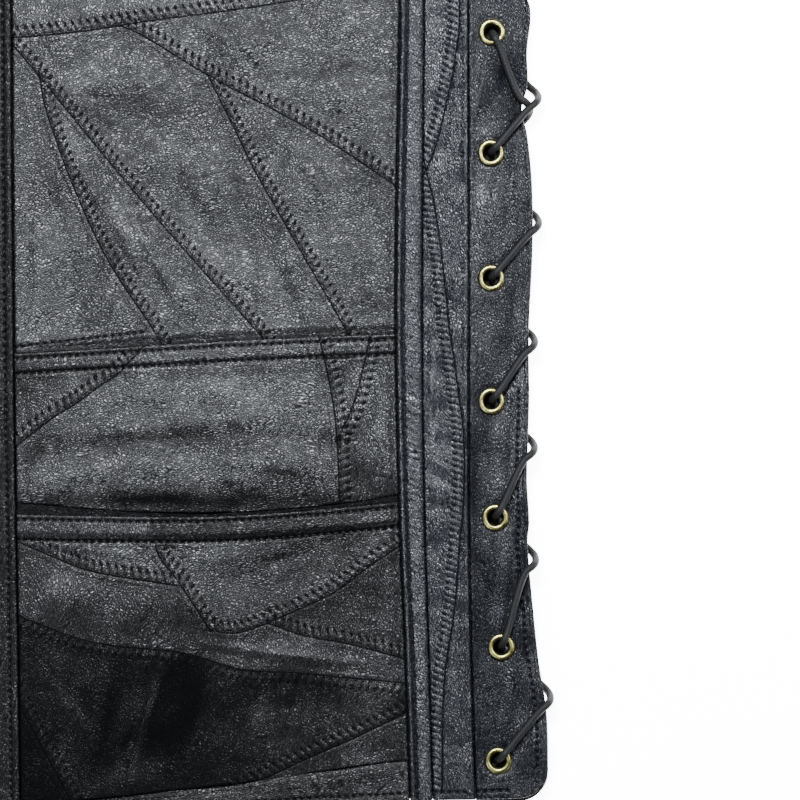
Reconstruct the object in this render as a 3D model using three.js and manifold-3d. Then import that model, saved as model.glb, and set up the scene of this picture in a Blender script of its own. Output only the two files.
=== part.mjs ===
import * as THREE from 'three';
import { mergeVertices } from 'three/addons/utils/BufferGeometryUtils.js';
import Module from 'manifold-3d';

const wasm = await Module();
wasm.setup();

// A leather vest that lies flat on its back, front up, with laced sides. Millimetres.
// +X is to the viewer's right, which is the wearer's left, +Y runs up to the neck, +Z is up.
// The origin is at the bottom centre of the whole vest's box.

// Driving sizes
const LEATHER = 1.6;
const POCKET_LEATHER = 1.5;
const HEM_THICKNESS = 3.0;
const STRIP_THICKNESS = 2.6;
const SEAM_GAP = 0.3;
const BAND_HALF_WIDTH = 12;
const BAND_Z = { over: 6.2, under: 3.4 };
const LACE_EDGE_Z = { front: 8.8, back: 5.1 };
const SHOULDER_Z = LEATHER + SEAM_GAP;
const CORNER_RADIUS = 12;
const LACE_PANEL_TOP = 23;
const BACK_HEM_DROP = { body: -1, lacePanel: 1.5 };
const SIDE_HEM_EXTRA = 0.6;
const POCKET_MOUTH = { depth: 8, extra: 0.7 };
const LACE_RADIUS = 1.5;
const HOLE_RADIUS = 3.8;
const EYELET = { bore: 3.0, barrel: 3.5, flange: 5.4, top: 0.8, rim: 0.6 };
const ROUND = { front: 10, back: 8 };
// A turned edge steps down to the single leather over twice this length
const STEP_HALF = 0.6;
const GROOVE = { half: 1.3, above: 0.6, depth: 0.7, step: 26 };

// Hem edge and hem seam of one front, from the centre out
const HEM = [
  { x: 0, edge: -315, seam: -310 },
  { x: 30, edge: -314.5, seam: -307.5 },
  { x: 79, edge: -311.3, seam: -302.5 },
  { x: 126, edge: -307.7, seam: -297.3 },
  { x: 184, edge: -304.5, seam: -289.1 },
  { x: 232, edge: -302.9, seam: -287 },
];

// The pocket pieces' top and bottom edges
const POCKET = [
  { x: 30, upperTop: -124.9, upperEnd: -184.5, lowerTop: -189.1 },
  { x: 82, upperTop: -121.8, upperEnd: -188.4, lowerTop: -190.1 },
  { x: 116, upperTop: -119.8, upperEnd: -188.5, lowerTop: -189.7 },
  { x: 157, upperTop: -117.9, upperEnd: -185.4, lowerTop: -186.8 },
  { x: 184, upperTop: -116.9, upperEnd: -181.3, lowerTop: -184.1 },
];

// Seams that run up the front: the band's, the main side seam, the strip's far edge and the
// lace panel's
const UP_SEAMS = [
  { y: -315, band: 32.4, main: 188.4, strip: 197.4, lace: 214.6 },
  { y: -244, band: 31.4, main: 186.0, strip: 195.4, lace: 212.4 },
  { y: -184, band: 30.4, main: 183.6, strip: 193.6, lace: 211.4 },
  { y: -104, band: 29.4, main: 182.2, strip: 192.8, lace: 211.4 },
  { y: 16, band: 28.6, main: 184.0, strip: 193.6, lace: 211.2 },
  { y: 60, band: 28.4, main: 184.0, strip: 193.6, lace: 211.2 },
];

// The laced edge, which the lace pulls into shallow waves
const LACED_EDGE = [
  { y: 7.5, x: 236.2 },
  { y: -4.5, x: 234.8 },
  { y: -17.7, x: 235.0 },
  { y: -27.7, x: 232.6 },
  { y: -37.3, x: 234.8 },
  { y: -57.3, x: 236.8 },
  { y: -83.7, x: 237.0 },
  { y: -117.3, x: 235.5 },
  { y: -142.9, x: 235.7 },
  { y: -175.3, x: 234.8 },
  { y: -192.5, x: 235.7 },
  { y: -200.9, x: 235.0 },
  { y: -230.5, x: 237.6 },
  { y: -248.9, x: 239.6 },
  { y: -269.3, x: 242.7 },
  { y: -291.7, x: 243.3 },
].reverse();

// Armhole and neckline, from the underarm up to the shoulder
const ARMHOLE = [
  { y: 22.5, x: 222 },
  { y: 24, x: 211.2 },
  { y: 29, x: 197 },
  { y: 36, x: 184 },
  { y: 50, x: 172 },
  { y: 75, x: 161.5 },
  { y: 110, x: 154.5 },
  { y: 150, x: 152 },
  { y: 200, x: 153.5 },
  { y: 240, x: 158.5 },
  { y: 283, x: 168 },
];
const NECK_LINE = [
  { y: 43, x: -12 },
  { y: 72, x: 0 },
  { y: 150, x: 27 },
  { y: 230, x: 52 },
  { y: 315, x: 75 },
];
// The armhole's lowest stretch, from the main side seam out
const UNDERARM = ARMHOLE.slice(0, 4).reverse();
const SHOULDER = [
  { x: 75, y: 315 },
  { x: 168, y: 283 },
];
const BACK_TOP = [
  { x: 0, y: 298 },
  { x: 40, y: 301 },
  { x: 62, y: 307 },
  { x: 75, y: 315 },
  { x: 122, y: 298.8 },
  { x: 168, y: 283 },
];

// How high each wall's underside lies, from the centre out
const FRONT_LIFT = [
  { x: 28, over: 6.2, under: 3.4 },
  { x: 52, over: 4.8, under: 3.3 },
  { x: 90, over: 3.5, under: 3.2 },
  { x: 150, over: 3.6, under: 3.6 },
  { x: 184, over: 5.0, under: 5.0 },
  { x: 196, over: 5.5, under: 5.5 },
  { x: 211, over: 8.8, under: 8.8 },
];
const BACK_RAMP = { from: 193, to: 211 };

// Eyelets of one side from the underarm down, and where the lace from each one rounds the edge
const EYELETS = [
  { x: 220.7, y: 3.3, wrapX: 235.6, wrapY: -26.8 },
  { x: 220.3, y: -44.9, wrapX: 238.9, wrapY: -23.7 },
  { x: 220.4, y: -94.9, wrapX: 239.1, wrapY: -73.7 },
  { x: 220.5, y: -144.1, wrapX: 237.5, wrapY: -121.3 },
  { x: 222.0, y: -190.6, wrapX: 237.4, wrapY: -163.7 },
  { x: 224.4, y: -242.3, wrapX: 237.9, wrapY: -208.5 },
  { x: 223.2, y: -287.7, wrapX: 243.8, wrapY: -263.7 },
];
const SNAP_ROWS = [-265, -168, -71, 26];

// Largest soft folds of the front, as ridges: middle, half length, half width and height
const FRONT_FOLDS = [
  { x: 70, y: -60, angle: -50, length: 60, width: 16, height: 0.9 },
  { x: 140, y: -20, angle: -20, length: 45, width: 14, height: 0.8 },
  { x: 140, y: -85, angle: -62, length: 30, width: 12, height: 0.7 },
  { x: 100, y: 60, angle: 25, length: 60, width: 18, height: 1.1 },
  { x: 90, y: 150, angle: 60, length: 55, width: 18, height: 1.0 },
  { x: 120, y: 235, angle: -15, length: 35, width: 16, height: 0.8 },
];
const POCKET_FOLDS = [
  { x: 95, y: -155, angle: 3, length: 60, width: 7, height: 1.0 },
  { x: 125, y: -171, angle: 6, length: 45, width: 6, height: 1.2 },
  { x: 70, y: -225, angle: -14, length: 40, width: 10, height: 0.9 },
  { x: 140, y: -265, angle: 12, length: 40, width: 14, height: 0.8 },
];

// Patch seams, each a groove in the face of the piece that it crosses
const BODY_SEAMS = [
  [[26, 1], [54, 3.5], [85, 8.3], [126, 13.9], [160, 20], [190, 27]],
  [[72, 6.3], [83, 1.1], [108, -14.1], [134, -27.7], [157, -40.9], [188, -62]],
  [[107, -13.5], [119, -37.7], [126, -52.1], [141, -78.5], [157, -106.1], [164, -119]],
  [[26, 1.8], [39, -13.3], [54, -31.7], [75, -57.3], [96, -81.7], [116, -104.1], [131, -121]],
  [[39.6, -13.5], [43, -29.7], [54, -60.1], [67, -87.7], [83, -112.1], [90, -124]],
  [[34, 178], [70, 160], [112, 138], [158, 128]],
  [[84, 154], [96, 205], [118, 250], [128, 306]],
];
const UPPER_POCKET_SEAMS = [
  [[71, -119], [54, -144.5], [39, -154.9], [26, -166]],
  [[151, -115], [157, -143.7], [159, -163], [160, -190]],
  [[173, -114], [166, -143.7], [158.5, -160]],
];
const LOWER_POCKET_SEAMS = [
  [[26, -198], [54, -210.1], [70, -214.1], [85, -216.5], [95, -218]],
  [[83, -187], [87, -205], [96, -217.3], [108, -236.1]],
  [[107, -236], [121, -236.5], [146, -226.5], [160, -219.3], [172, -210.1], [190, -198]],
  [[131, -233], [146, -238.1], [165, -241.7], [192, -249]],
  [[26, -228], [60, -240.5], [96, -244.9], [121, -251.7], [146, -253.3], [192, -257.5]],
  [[28, -258], [39, -279.3], [46, -291.7], [54, -308]],
];
const SIDE_SEAMS = [
  [[207.4, 30], [207, 0], [199, -39.7], [191, -58]],
  [[193, -50], [200, -91.7], [204, -123.7], [207, -168], [204, -199.7], [201, -249], [199, -300]],
];

// Reads one column of a table at a value of another column, along a smooth curve
function read(table, key, column, at) {
  const last = table.length - 1;
  if (at <= table[0][key]) return table[0][column];
  if (at >= table[last][key]) return table[last][column];
  const slope = (i) => {
    const a = table[Math.max(i - 1, 0)];
    const b = table[Math.min(i + 1, last)];
    return (b[column] - a[column]) / (b[key] - a[key]);
  };
  const i = table.findIndex((row) => row[key] > at) - 1;
  const span = table[i + 1][key] - table[i][key];
  const t = (at - table[i][key]) / span;
  const rise = table[i + 1][column] - table[i][column];
  const bend = t * (1 - t) * ((slope(i) * span - rise) * (1 - t) - (slope(i + 1) * span - rise) * t);
  return table[i][column] + rise * t + bend;
}

const smooth = (value) => {
  const t = Math.min(Math.max(value, 0), 1);
  return t * t * (3 - 2 * t);
};

const hemEdge = (x) => read(HEM, 'x', 'edge', x);
const hemSeam = (x) => read(HEM, 'x', 'seam', x);
const upSeam = (name, y) => read(UP_SEAMS, 'y', name, y);
const armhole = (y) => read(ARMHOLE, 'y', 'x', y);
const underarm = (x) => read(UNDERARM, 'x', 'y', x);
const backSeam = (y) => 211.3 + 0.009 * (LACE_PANEL_TOP - y);

// How far a turned edge is thickened: 0 before its inner line, 1 past it
const turnedEdge = (past) => smooth(past / (2 * STEP_HALF) + 0.5);

// How free a point is to fold: 0 at the band seam and the main side seam, 1 between them
const freeOfSeams = (x, ease) => smooth((x - 32) / ease) * smooth((181 - x) / ease);

// The sum of soft ridges at a point
function foldHeight(folds, x, y) {
  let height = 0;
  for (const fold of folds) {
    const turn = THREE.MathUtils.degToRad(fold.angle);
    const dx = x - fold.x;
    const dy = y - fold.y;
    const along = (dx * Math.cos(turn) + dy * Math.sin(turn)) / fold.length;
    const across = (dy * Math.cos(turn) - dx * Math.sin(turn)) / fold.width;
    height += fold.height * Math.exp(-along * along - across * across);
  }
  return height;
}

// Undersides of the walls
function backUnder(x) {
  const ramp = (x - BACK_RAMP.from) / (BACK_RAMP.to - BACK_RAMP.from);
  return LACE_EDGE_Z.back * smooth(ramp);
}

function frontUnder(lap, x, y) {
  const lift = read(FRONT_LIFT, 'x', lap, x);
  const drop = smooth((read(SHOULDER, 'x', 'y', x) - y) / 70);
  const folds = foldHeight(FRONT_FOLDS, x, y) * freeOfSeams(x, 24);
  return SHOULDER_Z + (lift - SHOULDER_Z + folds) * drop;
}

function frontThick(x, y) {
  return LEATHER + (HEM_THICKNESS - LEATHER) * turnedEdge(hemSeam(x) - y);
}

function pocketUnder(lap, x, y) {
  const folds = foldHeight(POCKET_FOLDS, x, y) * freeOfSeams(x, 20);
  return frontUnder(lap, x, y) + LEATHER + SEAM_GAP + folds;
}

// A point of a panel: s runs across it from its left to its right edge, and level runs up
// through its cross lines
function place(panel, s, level) {
  let x = panel.middle;
  let y = 0;
  for (let pass = 0; pass < 12; pass += 1) {
    const lines = panel.lines(x);
    const n = Math.min(Math.floor(level), lines.length - 2);
    y = lines[n] + (level - n) * (lines[n + 1] - lines[n]);
    x = panel.left(y) + s * (panel.right(y) - panel.left(y));
  }
  return { x, y };
}

// A closed wall over a panel's grid, with its own underside and thickness at each point
function wall(panel) {
  const { across, up } = panel;
  const columns = across.length;
  const half = columns * up.length;
  const under = [];
  const over = [];
  for (const level of up) {
    for (const s of across) {
      const { x, y } = place(panel, s, level);
      const z = panel.under(x, y);
      under.push(x, y, z);
      over.push(x, y, z + panel.thick(x, y));
    }
  }
  const faces = [];
  const quad = (a, b, c, d) => faces.push(a, b, c, a, c, d);
  for (let j = 0; j + 1 < up.length; j += 1) {
    for (let i = 0; i + 1 < columns; i += 1) {
      const a = j * columns + i;
      const c = a + columns + 1;
      quad(half + a, half + a + 1, half + c, half + c - 1);
      quad(a, c - 1, c, a + 1);
    }
  }
  const rim = (a, b) => quad(a, b, half + b, half + a);
  const top = (up.length - 1) * columns;
  for (let i = 0; i + 1 < columns; i += 1) {
    rim(i, i + 1);
    rim(top + i + 1, top + i);
  }
  for (let j = 0; j + 1 < up.length; j += 1) {
    rim((j + 1) * columns, j * columns);
    rim(j * columns + columns - 1, (j + 2) * columns - 1);
  }
  const geometry = new THREE.BufferGeometry();
  geometry.setAttribute('position', new THREE.Float32BufferAttribute([...under, ...over], 3));
  geometry.setIndex(faces);
  return geometry;
}

const steps = (from, to, count) => {
  return Array.from({ length: count + 1 }, (_, i) => from + ((to - from) * i) / count);
};

// Cuts and mirror images
function bareMesh(geometry) {
  const bare = geometry.clone();
  for (const name of ['normal', 'uv']) bare.deleteAttribute(name);
  return mergeVertices(bare, 1e-4);
}

function solid(geometry) {
  const bare = bareMesh(geometry);
  const vertProperties = new Float32Array(bare.attributes.position.array);
  const triVerts = new Uint32Array(bare.index.array);
  return new wasm.Manifold(new wasm.Mesh({ numProp: 3, vertProperties, triVerts }));
}

function cut(geometry, cutters) {
  if (!cutters.length) return geometry;
  let body = solid(geometry);
  for (const cutter of cutters) body = body.subtract(solid(cutter));
  const mesh = body.getMesh();
  const result = new THREE.BufferGeometry();
  result.setAttribute('position', new THREE.BufferAttribute(mesh.vertProperties, 3));
  result.setIndex(new THREE.BufferAttribute(mesh.triVerts, 1));
  return result;
}

function mirrored(geometry) {
  const copy = bareMesh(geometry).scale(-1, 1, 1);
  const index = Array.from(copy.index.array);
  for (let i = 0; i < index.length; i += 3) [index[i], index[i + 1]] = [index[i + 1], index[i]];
  copy.setIndex(index);
  return copy;
}

function hole(x, y, radius, facets) {
  const depth = 40;
  const pin = new THREE.CylinderGeometry(radius, radius, depth, facets);
  return pin.rotateX(Math.PI / 2).translate(x, y, 0);
}

// A V groove's cutter, which follows a seam line at the height of the face
function groove(line, face) {
  const path = new THREE.CatmullRomCurve3(line.map(([x, y]) => new THREE.Vector3(x, y, 0)));
  const count = Math.max(2, Math.round(path.getLength() / GROOVE.step));
  const points = [];
  const faces = [];
  for (let i = 0; i <= count; i += 1) {
    const p = path.getPointAt(i / count);
    const t = path.getTangentAt(i / count);
    const z = face(p.x, p.y);
    points.push(p.x - t.y * GROOVE.half, p.y + t.x * GROOVE.half, z + GROOVE.above);
    points.push(p.x + t.y * GROOVE.half, p.y - t.x * GROOVE.half, z + GROOVE.above);
    points.push(p.x, p.y, z - GROOVE.depth);
    if (i === 0) continue;
    const a = 3 * (i - 1);
    for (let k = 0; k < 3; k += 1) {
      const m = a + k;
      const n = a + ((k + 1) % 3);
      faces.push(m, n, n + 3, m, n + 3, m + 3);
    }
  }
  const end = 3 * count;
  faces.push(0, 2, 1, end, end + 1, end + 2);
  const geometry = new THREE.BufferGeometry();
  geometry.setAttribute('position', new THREE.Float32BufferAttribute(points, 3));
  geometry.setIndex(faces);
  return geometry;
}

const grooves = (lines, face) => lines.map((line) => groove(line, face));

// The front body: hem, hem seam, pocket line, underarm and shoulder are its cross lines
function frontBody(lap) {
  const under = (x, y) => frontUnder(lap, x, y);
  const panel = {
    middle: 110,
    left: (y) => Math.max(upSeam('band', y), read(NECK_LINE, 'y', 'x', y)) + SEAM_GAP / 2,
    right: (y) => Math.min(upSeam('main', y), armhole(y)) - SEAM_GAP / 2,
    lines: (x) => [
      hemEdge(x),
      hemSeam(x) - STEP_HALF,
      hemSeam(x) + STEP_HALF,
      read(POCKET, 'x', 'upperTop', x),
      UNDERARM[0].y,
      read(SHOULDER, 'x', 'y', x),
    ],
    across: steps(0, 1, 7),
    up: [0, 1, 2, ...steps(2, 3, 3).slice(1), ...steps(3, 4, 6).slice(1), 4.06, 4.16,
      ...steps(4.3, 5, 4)],
    under,
    thick: frontThick,
  };
  return cut(wall(panel), grooves(BODY_SEAMS, (x, y) => under(x, y) + LEATHER));
}

function frontBand(lap) {
  const panel = {
    middle: 10,
    left: () => -BAND_HALF_WIDTH,
    right: (y) => upSeam('band', y) - SEAM_GAP / 2,
    lines: (x) => [hemEdge(Math.abs(x)), read(NECK_LINE, 'x', 'y', x)],
    across: steps(0, 1, 3),
    up: steps(0, 1, 5),
    under: () => BAND_Z[lap],
    thick: () => LEATHER,
  };
  return cut(wall(panel), SNAP_ROWS.map((y) => hole(0, y, lap === 'over' ? 2.9 : 1.8, 8)));
}

function sideStrip() {
  return wall({
    middle: 188,
    left: (y) => upSeam('main', y) + SEAM_GAP / 2,
    right: (y) => upSeam('strip', y) - SEAM_GAP / 2,
    lines: (x) => [hemEdge(x), underarm(x)],
    across: [0, 0.5, 1],
    up: steps(0, 1, 10),
    under: (x, y) => frontUnder('over', x, y),
    thick: () => STRIP_THICKNESS,
  });
}

function sidePanel() {
  const under = (x, y) => frontUnder('over', x, y);
  const panel = {
    middle: 202,
    left: (y) => upSeam('strip', y) + SEAM_GAP / 2,
    right: (y) => upSeam('lace', y) - SEAM_GAP / 2,
    lines: (x) => [hemEdge(x), hemSeam(x) - STEP_HALF, hemSeam(x) + STEP_HALF, underarm(x)],
    across: steps(0, 1, 2),
    up: [0, 1, 2, ...steps(2, 3, 9).slice(1)],
    under,
    thick: (x, y) => LEATHER + SIDE_HEM_EXTRA * turnedEdge(hemSeam(x) - y),
  };
  return cut(wall(panel), grooves(SIDE_SEAMS, (x, y) => under(x, y) + LEATHER));
}

// A laced panel: its two outer corners are round
function lacePanel(layer, hemDrop, seam) {
  const low = LACED_EDGE[0].x;
  const high = LACED_EDGE[LACED_EDGE.length - 1].x;
  const round = (x, edge) => {
    const d = THREE.MathUtils.clamp(x - edge + CORNER_RADIUS, 0, CORNER_RADIUS);
    return CORNER_RADIUS - Math.sqrt(CORNER_RADIUS ** 2 - d * d);
  };
  const panel = {
    middle: 225,
    left: (y) => seam(y) + SEAM_GAP / 2,
    right: (y) => read(LACED_EDGE, 'y', 'x', y),
    lines: (x) => [hemEdge(x) - hemDrop + round(x, low), LACE_PANEL_TOP - round(x, high)],
    across: [0, 0.55, 0.82, 1],
    up: steps(0, 1, 15),
    under: () => LACE_EDGE_Z[layer],
    thick: () => LEATHER,
  };
  return cut(wall(panel), EYELETS.map((e) => hole(e.x, e.y, HOLE_RADIUS, ROUND[layer])));
}

function backBody() {
  const rowsAt = [-303, -240, -150, -60, 23, 24.5, 27.5, 31.5, 36, 43, 52, 64, 80, 105, 150, 200,
    245, 283];
  const bottom = rowsAt[0];
  const top = rowsAt[rowsAt.length - 1];
  const half = (y) => Math.min(backSeam(y) - SEAM_GAP / 2, armhole(y));
  return wall({
    middle: 0,
    left: (y) => -half(y),
    right: half,
    lines: (x) => [hemEdge(Math.abs(x)) - BACK_HEM_DROP.body, read(BACK_TOP, 'x', 'y', Math.abs(x))],
    across: [0, 0.022, 0.044, 0.15, 0.277, 0.39, 0.5, 0.61, 0.723, 0.85, 0.956, 0.978, 1],
    up: rowsAt.map((y) => (y - bottom) / (top - bottom)),
    under: (x) => backUnder(Math.abs(x)),
    thick: () => LEATHER,
  });
}

// A pocket piece from one cross line to another, with a thicker turned edge at its mouth
function pocket(lap, bottom, top, rows, seams) {
  const mouth = POCKET_MOUTH.depth;
  const under = (x, y) => pocketUnder(lap, x, y);
  const panel = {
    middle: 105,
    left: (y) => upSeam('band', y) + SEAM_GAP / 2,
    right: (y) => upSeam('main', y) - SEAM_GAP / 2,
    lines: (x) => [bottom(x), top(x) - mouth - STEP_HALF, top(x) - mouth + STEP_HALF, top(x)],
    across: steps(0, 1, 7),
    up: [...steps(0, 1, rows), 2, 3],
    under,
    thick: (x, y) => POCKET_LEATHER + POCKET_MOUTH.extra * turnedEdge(y - top(x) + mouth),
  };
  return cut(wall(panel), grooves(seams, (x, y) => under(x, y) + POCKET_LEATHER));
}

function upperPocket(lap) {
  const bottom = (x) => read(POCKET, 'x', 'upperEnd', x);
  const top = (x) => read(POCKET, 'x', 'upperTop', x);
  return pocket(lap, bottom, top, 4, UPPER_POCKET_SEAMS);
}

function lowerPocket(lap) {
  const bottom = (x) => hemSeam(x) + 1;
  const top = (x) => read(POCKET, 'x', 'lowerTop', x);
  return pocket(lap, bottom, top, 5, LOWER_POCKET_SEAMS);
}

// An eyelet: bored barrel, flat flange above the leather and a turned rim below it
function eyelet(x, y, layer) {
  const underside = LACE_EDGE_Z[layer];
  const top = underside + LEATHER + SEAM_GAP;
  const low = underside - SEAM_GAP;
  const { bore, barrel, flange, rim } = EYELET;
  const section = [
    [bore, low - rim],
    [flange - 0.8, low - rim],
    [barrel, low],
    [barrel, top],
    [flange, top],
    [flange - 0.7, top + EYELET.top],
    [bore, top + EYELET.top],
    [bore, low - rim],
  ];
  const profile = section.map(([r, z]) => new THREE.Vector2(r, z));
  const ring = new THREE.LatheGeometry(profile, ROUND[layer]);
  return ring.rotateX(Math.PI / 2).translate(x, y, 0);
}

function turned(section, y) {
  const profile = section.map(([r, z]) => new THREE.Vector2(r, z));
  return new THREE.LatheGeometry(profile, 8).rotateX(Math.PI / 2).translate(0, y, 0);
}

// The fastened snap: a domed cap with its socket, and the stud that stands in it
function snapCap(y) {
  const top = BAND_Z.over + LEATHER + SEAM_GAP;
  const low = BAND_Z.over - SEAM_GAP;
  return turned([[0, low + 1.1], [1.9, low + 1.1], [1.9, low - 0.6], [5.2, low - 0.6], [5.2, low],
    [2.6, low], [2.6, top], [7.5, top], [7, top + 1], [0, top + 2]], y);
}

function snapStud(y) {
  const low = BAND_Z.under - SEAM_GAP;
  return turned([[0, low - 0.6], [4.8, low - 0.6], [4.8, low], [1.5, low], [1.5, low + 3.5],
    [0, low + 3.5]], y);
}

// The lace's route has its own steps at the points that are given
class LaceRoute extends THREE.CatmullRomCurve3 {
  getUtoTmapping(u) {
    return u;
  }
}

// One lace: through each pair of eyelets from below, over the front, round the edge and back
// underneath to the pair above
function laceRoute() {
  const low = LACE_RADIUS + 0.05;
  const front = LACE_EDGE_Z.front + LEATHER;
  const route = [];
  const add = (x, y, z) => route.push(new THREE.Vector3(x, y, z));
  let from = { x: 212, y: -296 };
  for (const e of EYELETS.slice().reverse()) {
    const last = e === EYELETS[0];
    const arrive = new THREE.Vector2(from.x - e.x, from.y - e.y).normalize();
    const leave = new THREE.Vector2(e.wrapX - e.x, e.wrapY - e.y).normalize();
    const below = (r, z) => add(e.x + arrive.x * r, e.y + arrive.y * r, z);
    const above = (r, z) => add(e.x + leave.x * r, e.y + leave.y * r, z);
    if (route.length === 0) add(from.x, from.y, low);
    below(7, low);
    below(3.2, low + 0.2);
    below(1.3, low + 1.6);
    above(0.5, front + 0.6);
    above(1.2, front + 2.2);
    above(3, front + 3.4);
    above(6.5, front + 3);
    const down = last ? -1 : 1;
    add(e.wrapX - 4, e.wrapY - 4.2 * down, front + 2.1);
    add(e.wrapX - 1, e.wrapY - 1.6 * down, front + 1.7);
    add(e.wrapX + 0.2, e.wrapY, front - 0.8);
    add(e.wrapX + 0.2, e.wrapY + 2.0 * down, LACE_EDGE_Z.back + 0.6);
    add(e.wrapX - 1, e.wrapY + 3.8 * down, LACE_EDGE_Z.back - 1.9);
    add(e.wrapX - 4, e.wrapY + 6.6 * down, low);
    from = { x: e.wrapX - 4, y: e.wrapY + 6.6 * down };
  }
  add(from.x - 5, from.y - 5, low);
  return route;
}

function lace() {
  const route = laceRoute();
  const section = new THREE.Shape();
  for (let k = 0; k < 8; k += 1) {
    const turn = ((k + 0.5) / 8) * 2 * Math.PI;
    section[k ? 'lineTo' : 'moveTo'](LACE_RADIUS * Math.cos(turn), LACE_RADIUS * Math.sin(turn));
  }
  section.closePath();
  return new THREE.ExtrudeGeometry(section, {
    steps: route.length - 1,
    extrudePath: new LaceRoute(route, false, 'centripetal'),
    bevelEnabled: false,
  });
}

// Finishes
const leather = { color: 0x232427, roughness: 0.55, metalness: 0 };
const darkLeather = { color: 0x1b1c20, roughness: 0.5, metalness: 0 };
const brass = { color: 0xb8ae7c, roughness: 0.35, metalness: 1 };
const cord = { color: 0x202122, roughness: 0.8, metalness: 0 };

const vest = new THREE.Group();

function piece(name, geometry, finish) {
  const mesh = new THREE.Mesh(geometry, new THREE.MeshStandardMaterial(finish));
  mesh.name = name;
  vest.add(mesh);
}

piece('back_body', backBody(), darkLeather);

// The wearer's left front laps over the right one
const sides = [
  { name: 'left', lap: 'over', turn: (geometry) => geometry },
  { name: 'right', lap: 'under', turn: mirrored },
];
for (const { name, lap, turn } of sides) {
  piece(`back_lace_panel_${name}`, turn(lacePanel('back', BACK_HEM_DROP.lacePanel, backSeam)), darkLeather);
  piece(`front_body_${name}`, turn(frontBody(lap)), leather);
  piece(`front_band_${name}`, turn(frontBand(lap)), leather);
  piece(`pocket_upper_${name}`, turn(upperPocket(lap)), leather);
  piece(`pocket_lower_${name}`, turn(lowerPocket(lap)), leather);
  piece(`side_strip_${name}`, turn(sideStrip()), darkLeather);
  piece(`side_panel_${name}`, turn(sidePanel()), darkLeather);
  piece(`front_lace_panel_${name}`, turn(lacePanel('front', 0, (y) => upSeam('lace', y))), darkLeather);
  piece(`lace_${name}`, turn(lace()), cord);
  EYELETS.forEach((e, i) => {
    piece(`front_eyelet_${name}_${i + 1}`, turn(eyelet(e.x, e.y, 'front')), brass);
    piece(`back_eyelet_${name}_${i + 1}`, turn(eyelet(e.x, e.y, 'back')), brass);
  });
}

SNAP_ROWS.forEach((y, i) => {
  piece(`snap_cap_${i + 1}`, snapCap(y), brass);
  piece(`snap_stud_${i + 1}`, snapStud(y), brass);
});

export default vest;
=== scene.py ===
import math

import bpy
import numpy as np
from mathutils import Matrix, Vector


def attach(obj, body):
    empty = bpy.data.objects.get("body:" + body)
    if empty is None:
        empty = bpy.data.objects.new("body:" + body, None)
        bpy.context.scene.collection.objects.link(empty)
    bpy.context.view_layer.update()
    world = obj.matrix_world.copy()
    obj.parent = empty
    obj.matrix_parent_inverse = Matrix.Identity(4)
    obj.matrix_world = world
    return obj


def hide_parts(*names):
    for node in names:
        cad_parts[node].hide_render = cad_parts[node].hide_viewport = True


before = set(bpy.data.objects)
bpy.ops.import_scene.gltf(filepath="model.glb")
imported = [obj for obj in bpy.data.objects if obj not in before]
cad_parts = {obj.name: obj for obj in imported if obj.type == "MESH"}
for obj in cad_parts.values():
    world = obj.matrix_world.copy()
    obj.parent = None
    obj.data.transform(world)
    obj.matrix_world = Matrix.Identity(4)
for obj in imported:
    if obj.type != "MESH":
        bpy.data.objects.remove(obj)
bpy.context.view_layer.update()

# Lengths are in millimetres up to the meshes, which are in metres. +X is to the viewer's
# right, +Y runs up the vest, +Z is up. Left and right in names are the wearer's.
MM = 0.001
LEATHER = 1.6
POCKET_LEATHER = 1.5
HEM_THICKNESS = 3.0
STRIP_THICKNESS = 2.6
SEAM_GAP = 0.3
BAND_HALF_WIDTH = 12
BAND_Z = {"over": 6.2, "under": 3.4}
LACE_EDGE_Z = {"front": 8.8, "back": 5.1}
SHOULDER_Z = LEATHER + SEAM_GAP
CORNER_RADIUS = 12
LACE_PANEL_TOP = 23
BACK_HEM_DROP = {"body": -1, "lace_panel": 1.5}
SIDE_HEM_EXTRA = 0.6
POCKET_MOUTH = {"depth": 8, "extra": 0.7}
LACE_RADIUS = 1.5
HOLE_RADIUS = 4.3
EYELET = {"bore": 3.0, "barrel": 3.5, "flange": 5.4}
EDGE_ROUND = 0.7
LEAST_WALL = 0.5
SETTING_GAP = 0.15
ROW_INSET = 3.2
LACE_END = (212.0, -296.0)
# Grid steps: the wearer's left side is the one that the picture shows
STEP = {"left": 0.68, "right": 2.6, "back": 4.0}

# Stitches: a ladder seam pulls a slot at each turn of its thread, set back from its crease.
# REACH is how far each line marks the leather and SEARCH how far from it points are measured.
# FAR stands for a distance that isn't measured, and UNSEWN for one that is clear of all stitching.
PITCH = {"ladder": 3.2, "side_ladder": 2.6, "row": 3.0}
SLOT = {"away": 3.9, "slant": 0.35, "half_length": 0.9}
REACH = {"ladder": 7.2, "plain": 2.6, "row": 2.6}
SEARCH = {"seam": 9, "row": 5}
FAR = 1e3
UNSEWN = 9
POINTS_AT_A_TIME = 4000


def table(heads, rows):
    """The columns of a table by their names, from the names and the rows."""
    return dict(zip(heads.split(), np.array(rows, float).T))


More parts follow.
